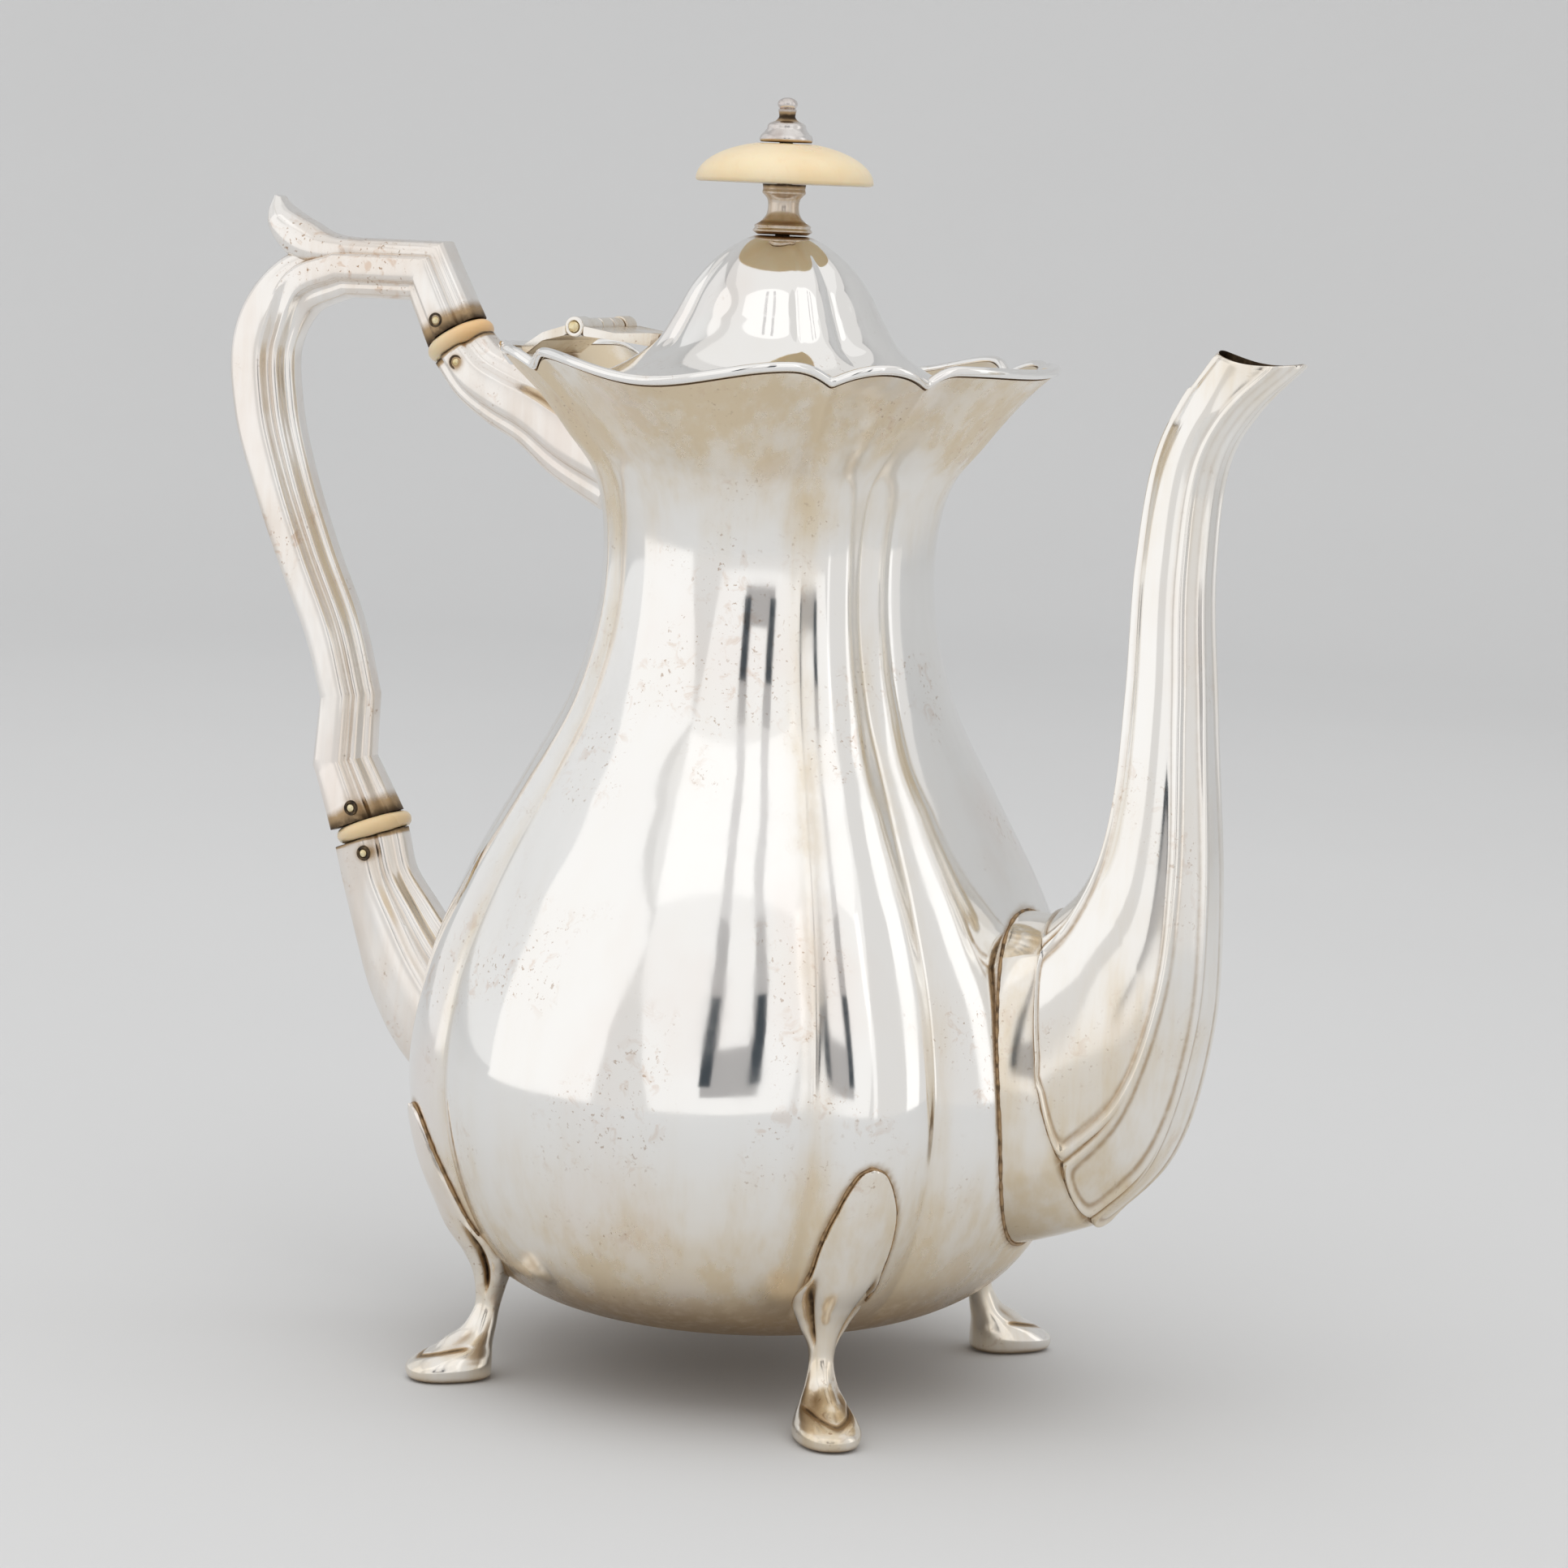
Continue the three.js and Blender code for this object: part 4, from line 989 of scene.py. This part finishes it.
def sweep(rows, start_tilt, end_tilt, section_at):
    """Rings of a moulded bar along a centreline in the XZ plane, mitred at its corners.

    Each row is x, z, half thickness, half width. section_at(k) gives the section of row k."""
    rows = np.asarray(rows, float)
    steps = unit(np.diff(rows[:, :2], axis=0))
    rings = []
    for k, (x, z, half_thickness, half_width) in enumerate(rows):
        mitre = 1.0
        if k == 0:
            along = heading(start_tilt)
        elif k == len(rows) - 1:
            along = heading(end_tilt)
        else:
            along = unit(steps[k - 1] + steps[k])
            mitre = 1 / max(along @ steps[k - 1], 0.3)
        section = section_at(k)
        reach = section[:, 0] * half_thickness * mitre
        rings.append(
            np.stack([x + along[1] * reach, section[:, 1] * half_width, z - along[0] * reach], axis=-1)
        )
    return np.stack(rings)


def with_corner(before, corner, after):
    """Rows from `before` to a corner and on toward `after`, close together beside the mitre."""
    before, corner, after = (np.array(row, float) for row in (before, corner, after))
    arriving = [lerp(before, corner, t) for t in (0, 0.35, 0.65, 0.85, 0.95, 0.985)]
    leaving = [lerp(corner, after, t) for t in (0.015, 0.05, 0.15, 0.35, 0.65)]
    return [*arriving, corner, *leaving]


def joint_row(insulator, side):
    """Where a bar meets an insulator: 1 on its side to the body and -1 on its side to the grip."""
    tilt, thickness = INSULATORS[insulator]
    x, z = middle_of(insulator)[[0, 2]] + side * (thickness / 2 + JOINT_GAP) * heading(tilt)
    radius = box_mm(insulator)[1][1]
    return (x, z, radius - 0.2, radius - 0.4)


def build_grip():
    curve = smooth(GRIP_CURVE, 18)
    curve = np.column_stack([curve, np.full(len(curve), GRIP_HALF_WIDTH)])
    rows = with_corner(joint_row(UPPER, -1), (*GRIP_CORNER_TOP, GRIP_HALF_WIDTH), curve[0])
    change = len(rows) + 8
    end = joint_row(LOWER, -1)
    rows += list(curve)
    rows += with_corner(curve[-1], (*GRIP_CORNER_BOTTOM, GRIP_HALF_WIDTH), end)[1:]
    rows.append(np.array(end, float))

    def section_at(k):
        return lerp(bar_section, grip_section, ease(k, change, change + 26))

    rings = sweep(rows, INSULATORS[UPPER][0] + 180, INSULATORS[LOWER][0], section_at)
    scroll_rows = smooth(THUMB_SCROLL, 8)
    width = np.minimum(1.5 * scroll_rows[:, 2] + 0.6, 5.0)
    turn = full_turn(40)
    oval = np.stack([np.cos(turn), np.sin(turn)], axis=-1)
    oval = np.sign(oval) * np.abs(oval) ** 0.8
    scroll = sweep(np.column_stack([scroll_rows, width]), 160, 80, lambda k: oval)
    shells = [shell(rings), shell(scroll)]
    grime_and_shade = handle_grime(np.vstack([vertices for vertices, _ in shells]))
    make_piece("grip_silver", "handle_grip", CAST_SILVER, *shells, sharp_angle=34, grime_and_shade=grime_and_shade)


def handle_grime(vertices):
    """Dark tarnish beside the insulators and round the pins."""
    grime_and_shade = np.zeros(len(vertices))
    for node, (tilt, thickness) in INSULATORS.items():
        from_middle = vertices - middle_of(node)
        away = np.abs(from_middle[:, [0, 2]] @ heading(tilt)) - thickness / 2
        near = np.linalg.norm(from_middle, axis=1) < 14
        grime_and_shade = np.maximum(grime_and_shade, near * (0.9 * bell(away, 0.4) + 0.14 * bell(away, 1.6)))
    for node in PINS:
        distance = np.linalg.norm((vertices - middle_of(node))[:, [0, 2]], axis=1)
        grime_and_shade = np.maximum(grime_and_shade, 0.7 * bell(distance, 1.6))
    return np.clip(grime_and_shade, 0, 1)


def build_socket(name, insulator, rows, last_tilt, section):
    """A socket from its insulator into the body, and its points along the seam."""
    curve = smooth([joint_row(insulator, 1), *rows], 14)
    vertices, faces = shell(sweep(curve, INSULATORS[insulator][0], last_tilt, lambda k: section))
    depth = proud_of_body(vertices)
    grime_and_shade = np.maximum(handle_grime(vertices), 0.8 * bell(depth, 0.35))
    make_piece(f"{name}_silver", name, CAST_SILVER, (vertices, faces), sharp_angle=34, grime_and_shade=grime_and_shade)
    return vertices[np.abs(depth) < 0.5]


def build_insulator(name, shaded_glow):
    """An ivory ring with a round rim, painted orange toward the body as the glow of its shaded side."""
    tilt, thickness = INSULATORS[name]
    half = thickness / 2
    middle = middle_of(name)
    radius = box_mm(name)[1][1] + 0.5
    turn = np.linspace(-math.pi / 2, math.pi / 2, 17)
    rim = [(half * math.sin(t), radius - half + half * math.cos(t)) for t in turn]
    x, z = heading(tilt)
    rings = axis_rings([(-half, 0.3), *rim, (half, 0.3)], middle, (x, 0, z), (0, 1, 0), 72)
    vertices, faces = shell(rings)
    # Painted light: the side toward the body gets the orange glow of its shaded side.
    grime_and_shade = shaded_glow * ease(vertices[:, 0] - middle[0], -4, 6)
    make_piece(f"{name}_ivory", name, RING_IVORY, (vertices, faces), sharp_angle=60, grime_and_shade=grime_and_shade)


def build_pin(name):
    """A pin whose two domed ends stand in a sunk dark ring."""
    low, high = box_mm(name)
    middle = middle_of(name)
    insulator = UPPER if "upper" in name else LOWER
    face = box_mm(insulator)[1][1] - (0.42 if "grip" in name else 0.3)
    radius = (high[0] - low[0]) / 2 + 0.1
    make_piece(f"{name}_gold", name, PIN_GOLD, domed_rod(middle, face + 0.4, radius, 0.55, 7, 28))
    rings = []
    for side in (-1, 1):
        dish = [(-0.3, 1.6), (0.12, 1.45), (0.1, 1.0), (-0.5, 0.8), (-0.9, 0.3)]
        outline = [(side * (face + a), r) for a, r in dish]
        rings.append(shell(axis_rings(outline, middle, (0, 1, 0), (1, 0, 0), 28)))
    make_piece(f"{name}_recess", None, RECESS_BLACK, *rings)


# ------------ lid


def build_lid():
    edge = [
        (LID_RADIUS - 0.25, LID_UNDERSIDE + LID_EDGE), (LID_RADIUS, LID_UNDERSIDE + LID_EDGE / 2),
        (LID_RADIUS - 0.25, LID_UNDERSIDE), (LID_RADIUS - 4.4, LID_UNDERSIDE),
    ]
    outer = smooth(LID_OUTLINE, 16)
    inside = offset(outer, LID_WALL)[1:-1][::-1]
    hole = [(LID_OUTLINE[0][0], LID_OUTLINE[0][1] - LID_WALL)]
    outline = np.vstack([outer, edge, inside, hole])
    radius, z = outline[:, :1], outline[:, 1:]
    angles = lobe_angles(36, 16)
    depth = FLUTE_DEPTH * ease(z, 198.5, 203) * (1 - ease(z, 219, 223))
    rings = around(angles, radius * lobe_factor(angles[None, :], radius, depth, 0.5), z)
    grime_and_shade = 0.55 * bell(rings[..., 2] - 223.6, 0.8) * (radius_of(rings) < 8)
    lid = shell(rings, wrap_rows=True)
    make_piece("lid_silver", "lid_dome", LID_SILVER, lid, body="lid", grime_and_shade=grime_and_shade)


def build_bezel():
    (_, _, low), (radius, _, high) = box_mm("lid_bezel")
    outline = [(radius - 1.1, low), (radius, low), (radius, high), (radius - 1.1, high + 0.3)]
    bezel = shell(turned(rounded(outline, 0.3), 128), wrap_rows=True)
    make_piece("bezel_silver", "lid_bezel", LID_SILVER, bezel, body="lid")


# ------------ hinge

hinge_x, _, hinge_z = middle_of("hinge_pin")
HINGE_HALF = KNUCKLES * KNUCKLE_LENGTH / 2


def knuckle(k):
    start = k * KNUCKLE_LENGTH - HINGE_HALF + 0.12
    end = start + KNUCKLE_LENGTH - 0.24
    radius = 2.05 if k in (0, KNUCKLES - 1) else 1.75
    outline = rounded([(start, 1.15), (start, radius), (end, radius), (end, 1.15)], 0.28)
    rings = axis_rings(outline, (hinge_x, 0, hinge_z), (0, 1, 0), (1, 0, 0), 40)
    return shell(rings, wrap_rows=True)


def leaf_plate(outline):
    """A thin plate as wide as the hinge, from its outline in the XZ plane. Its two ends are narrower."""
    section = rounded(outline, 0.35, 4)
    y = np.linspace(-HINGE_HALF, HINGE_HALF, 24)[:, None]
    taper = 1 - 0.12 * bell(np.abs(y) - HINGE_HALF, 0.5)
    middle = section[:, 0].mean()
    x = middle + (section[:, 0] - middle) * taper
    return shell(np.stack(np.broadcast_arrays(x, y, section[:, 1]), axis=-1))


def build_hinge():
    body_plate = leaf_plate([
        (hinge_x - 1.2, 204.2), (-46, 202.6), (-51.2, 199.6), (-50.4, 198.0), (-46, 201.0),
        (hinge_x - 1.2, 202.3),
    ])
    lid_plate = leaf_plate([
        (hinge_x + 1.2, 204.2), (-30, 203.2), (-20.6, 203.6), (-21, 201.0), (-30, 201.8),
        (hinge_x + 1.2, 202.3),
    ])
    leaves = (("body", "pot", body_plate, (0, 2, 4)), ("lid", "lid", lid_plate, (1, 3)))
    for leaf, body, plate, places in leaves:
        make_piece(
            f"hinge_{leaf}_silver", f"hinge_{leaf}_leaf", HINGE_SILVER, plate, *map(knuckle, places),
            body=body, sharp_angle=40,
        )
    pin = domed_rod((hinge_x, 0, hinge_z), HINGE_HALF + 0.35, 1.08, 0.3, 6, 32)
    make_piece("hinge_pin_gold", "hinge_pin", PIN_GOLD, pin)


# ------------ finial


def heights(node):
    low, high = box_mm(node)
    return low[2], high[2]


def raised(outline, bottom):
    """An outline whose heights are above `bottom`, at its true height."""
    return np.array(outline, float) + (0, bottom)


def build_stem():
    bottom, top = heights("finial_stem")
    top = top + 0.2
    height = top - bottom
    side = smooth(raised([
        (5.1, 0.15), (5.8, 0.7), (5.4, 1.3), (5.5, 1.7), (4.9, 2.1), (4.4, 2.4), (3.3, 3.8),
        (3.0, 5.4), (3.2, 6.8), (3.8, 7.6), (4.2, 8.0), (4.1, height - 0.9), (4.2, height),
    ], bottom), 6)
    rings = turned([(FINIAL_BORE, bottom), (4.8, bottom), *side, (FINIAL_BORE, top)], 72)
    z = rings[..., 2]
    grime_and_shade = np.maximum(0.6 * bell(z - bottom - 2.3, 0.4), bell(z - top, 0.7))
    stem = shell(rings, wrap_rows=True)
    make_piece("stem_silver", "finial_stem", STEM_SILVER, stem, body="lid", grime_and_shade=grime_and_shade)


def build_cap():
    low, high = heights("finial_cap")
    radius = box_mm("finial_cap")[1][0]
    turn = np.linspace(0, math.radians(70), 24)
    rise = np.sin(turn) / math.sin(math.radians(70))
    dome = np.column_stack([radius * np.cos(turn), lerp(low + 0.45, high, rise)])
    under = [(FINIAL_BORE, low), (5, low), (radius - 0.8, low), (radius - 0.2, low + 0.15)]
    cap = shell(turned([*under, *dome, (FINIAL_BORE, high)], 96), wrap_rows=True)
    make_piece("cap_ivory", "finial_cap", CAP_IVORY, cap, body="lid", sharp_angle=40)


def build_tip():
    base, peak = heights("finial_tip")
    ball, ball_height = 1.95, 1.3
    side = smooth(raised([
        (5.0, 0.1), (5.2, 0.6), (4.9, 1.3), (4.2, 2.0), (3.75, 2.7), (3.7, 3.2), (3.3, 3.6),
        (2.2, 4.1), (1.6, 4.8), (1.6, 5.4), (1.8, peak - base - 2.4),
    ], base), 6)
    turn = np.linspace(-0.7, math.pi / 2 - 0.05, 16)
    top_ball = np.column_stack([ball * np.cos(turn), peak - ball_height + ball_height * np.sin(turn)])
    rings = turned([(FINIAL_BORE, base), (4.9, base), *side, *top_ball], 64)
    z = rings[..., 2]
    grime_and_shade = np.maximum(bell(z - base - 4.9, 0.9), 0.8 * bell(z - base, 0.3))
    make_piece("tip_silver", "finial_tip", TIP_SILVER, shell(rings), body="lid", grime_and_shade=grime_and_shade)


def build_stud_and_nut():
    thread_turns, steps = 22, 6
    k = np.arange(thread_turns * steps + 1)
    radius = 1.38 + 0.12 * np.cos(2 * math.pi * k / steps)
    z = lerp(*heights("finial_stud"), k / k[-1])
    stud = shell(turned(np.column_stack([radius, z]), 24))
    make_piece("stud_silver", "finial_stud", HINGE_SILVER, stud, body="lid")
    low, high = heights("finial_nut")
    radius = box_mm("finial_nut")[1][1]
    outline = [(FINIAL_BORE, low), (radius, low), (radius, high), (FINIAL_BORE, high)]
    nut = shell(turned(rounded(outline, 0.3), 6), wrap_rows=True)
    make_piece("nut_silver", "finial_nut", HINGE_SILVER, nut, body="lid", sharp_angle=30)


# ------------ studio

BOARD_AZIMUTH = 28.5
POT_MIDDLE = (0, 0, 120)


def build_camera():
    """At the photograph's viewing angle, tipped down at the pot and rolled a little."""
    azimuth = math.radians(26.07)
    distance, height = 888.5, 228.9
    yaw, pitch, roll = math.radians(0.72), math.radians(6.27), math.radians(2.32)
    turn = azimuth + yaw
    forward = Vector(
        (-math.sin(turn) * math.cos(pitch), math.cos(turn) * math.cos(pitch), -math.sin(pitch))
    )
    data = bpy.data.cameras.new("camera")
    data.sensor_width = 36
    data.lens = 104.7
    data.shift_x = 0.05
    data.shift_y = -0.05
    data.clip_start = 0.01
    camera = bpy.data.objects.new("camera", data)
    bpy.context.scene.collection.objects.link(camera)
    camera.location = to_frame((distance * math.sin(azimuth), -distance * math.cos(azimuth), height))
    aim = forward.to_track_quat("-Z", "Y").to_matrix()
    camera.rotation_euler = (aim @ Matrix.Rotation(roll, 3, "Z")).to_euler()
    bpy.context.scene.camera = camera


def stage_mesh(name, points, faces, material):
    """A piece of the studio, which is no part of the pot."""
    mesh = bpy.data.meshes.new(name)
    mesh.from_pydata(to_frame(points).tolist(), [], faces)
    mesh.shade_smooth()
    mesh.materials.append(material)
    stage = bpy.data.objects.new(name, mesh)
    bpy.context.scene.collection.objects.link(stage)
    return stage


def build_floor():
    """A pale paper sweep: a level round table top that curves up into a wall far behind the pot."""
    table_edge, bend_start, bend_radius, wall_top = 950.0, 1500.0, 800.0, 2600.0
    wall_middle, wall_half_width = math.radians(116), math.radians(84)
    bend = np.linspace(0, math.pi / 2, 18)[1:]
    level = [(r, 0.0) for r in np.linspace(0, table_edge, 12)]
    beyond = [(r, 0.0) for r in np.linspace(table_edge, bend_start, 6)[1:]]
    curve = [(bend_start + bend_radius * math.sin(t), bend_radius * (1 - math.cos(t))) for t in bend]
    wall = [(bend_start + bend_radius, z) for z in np.linspace(bend_radius, wall_top, 6)[1:]]
    rings = turned(level + beyond + curve + wall, 120)
    rows, columns = rings.shape[:2]
    from_middle = np.mod(full_turn(columns) - wall_middle + math.pi, 2 * math.pi) - math.pi
    behind = np.abs(from_middle) < wall_half_width
    faces = []
    for i in range(rows - 1):
        for j in range(columns):
            k = (j + 1) % columns
            if i < len(level) - 1 or (behind[j] and behind[k]):
                low, high = i * columns, (i + 1) * columns
                faces.append((low + j, low + k, high + k, high + j))
    stage_mesh("paper_sweep", rings.reshape(-1, 3), faces, PAPER)


def toward(azimuth, elevation):
    """From the pot toward a place. Azimuth 0 is in front, along -Y, and 90 is at the spout."""
    a, e = math.radians(azimuth), math.radians(elevation)
    return Vector((math.sin(a) * math.cos(e), -math.cos(a) * math.cos(e), math.sin(e)))


def soft_box(name, azimuth, elevation, distance, width, height, radiance, seen=True):
    """An area light aimed at the pot. The camera never sees it, and the silver may.

    In the silver its radiance adds to that of the world behind it."""
    back = toward(azimuth, elevation)
    data = bpy.data.lights.new(name, "AREA")
    data.shape = "RECTANGLE"
    data.size, data.size_y = width * MM, height * MM
    data.energy = radiance * math.pi * data.size * data.size_y
    lamp = bpy.data.objects.new(name, data)
    lamp.location = Vector(to_frame(POT_MIDDLE)) + back * distance * MM
    lamp.rotation_euler = (-back).to_track_quat("-Z", "Y").to_euler()
    lamp.visible_camera = False
    lamp.visible_glossy = seen
    bpy.context.scene.collection.objects.link(lamp)


def board(name, azimuth, distance, width, bottom, top, material):
    """A board that stands in front of the pot and is seen only in its silver."""
    back = toward(azimuth, 0)
    across = Vector((-back.y, back.x, 0)) * width / 2
    sides = [back * distance + across * side for side in (-1, 1)]
    corners = [(*sides[k].xy, z) for k, z in ((0, bottom), (1, bottom), (1, top), (0, top))]
    stage = stage_mesh(name, corners, [(0, 1, 2, 3)], material)
    stage.visible_camera = False
    stage.visible_diffuse = False
    stage.visible_shadow = False


def build_lights():
    soft_box("left_wall", -68, 16, 1500, 3000, 1900, 0.25)
    soft_box("front_wall", 26, 30, 1700, 2300, 2400, 0.20)
    soft_box("right_box", 104, 14, 1500, 420, 1500, 0.34)
    soft_box("right_strip", 62, 14, 1600, 120, 1500, 0.25)
    soft_box("top_box", 20, 80, 2200, 3000, 3000, 0.12)
    soft_box("paper_light", 20, 80, 2300, 3000, 3000, 0.85, seen=False)
    for side in (-1, 1):
        board(f"dark_board_{side + 2}", BOARD_AZIMUTH + side * 10.5, 1250, 110, 190, 760, DARK_BOARD)
        board(f"tall_board_{side + 2}", BOARD_AZIMUTH + side * 10, 1350, 150, 300, 2600, GREY_BOARD)
    board("low_board", BOARD_AZIMUTH, 1300, 560, 120, 420, GREY_BOARD)
    world = bpy.data.worlds.new("world")
    bpy.context.scene.world = world
    world.use_nodes = True
    background = world.node_tree.nodes["Background"]
    background.inputs["Color"].default_value = (0.75, 0.74, 0.73, 1)
    background.inputs["Strength"].default_value = 1.0


# ------------ the whole pot

build_camera()
foot_seams = [
    build_foot(f"foot_{end}_{hand}", front, side)
    for end, front in (("front", 1), ("rear", -1))
    for hand, side in (("left", -1), ("right", 1))
]
build_spout()
skirt_seam = build_spout_skirt()
upper_seam = build_socket("handle_upper_socket", UPPER, UPPER_SOCKET, -22, bar_section)
lower_seam = build_socket("handle_lower_socket", LOWER, LOWER_SOCKET, -34, grip_section)
build_body([
    (np.vstack(foot_seams), 1.1, 0.42), (skirt_seam, 1.0, 0.42), (upper_seam, 0.9, 0.5),
    (lower_seam, 0.8, 0.45),
])
build_rim_wire()
build_seat_ring()
build_grip()
build_insulator(UPPER, 1.0)
build_insulator(LOWER, 0.25)
for pin_name in PINS:
    build_pin(pin_name)
build_lid()
build_bezel()
build_hinge()
build_stem()
build_cap()
build_tip()
build_stud_and_nut()
build_floor()
build_lights()
bpy.context.scene.view_settings.view_transform = "Standard"
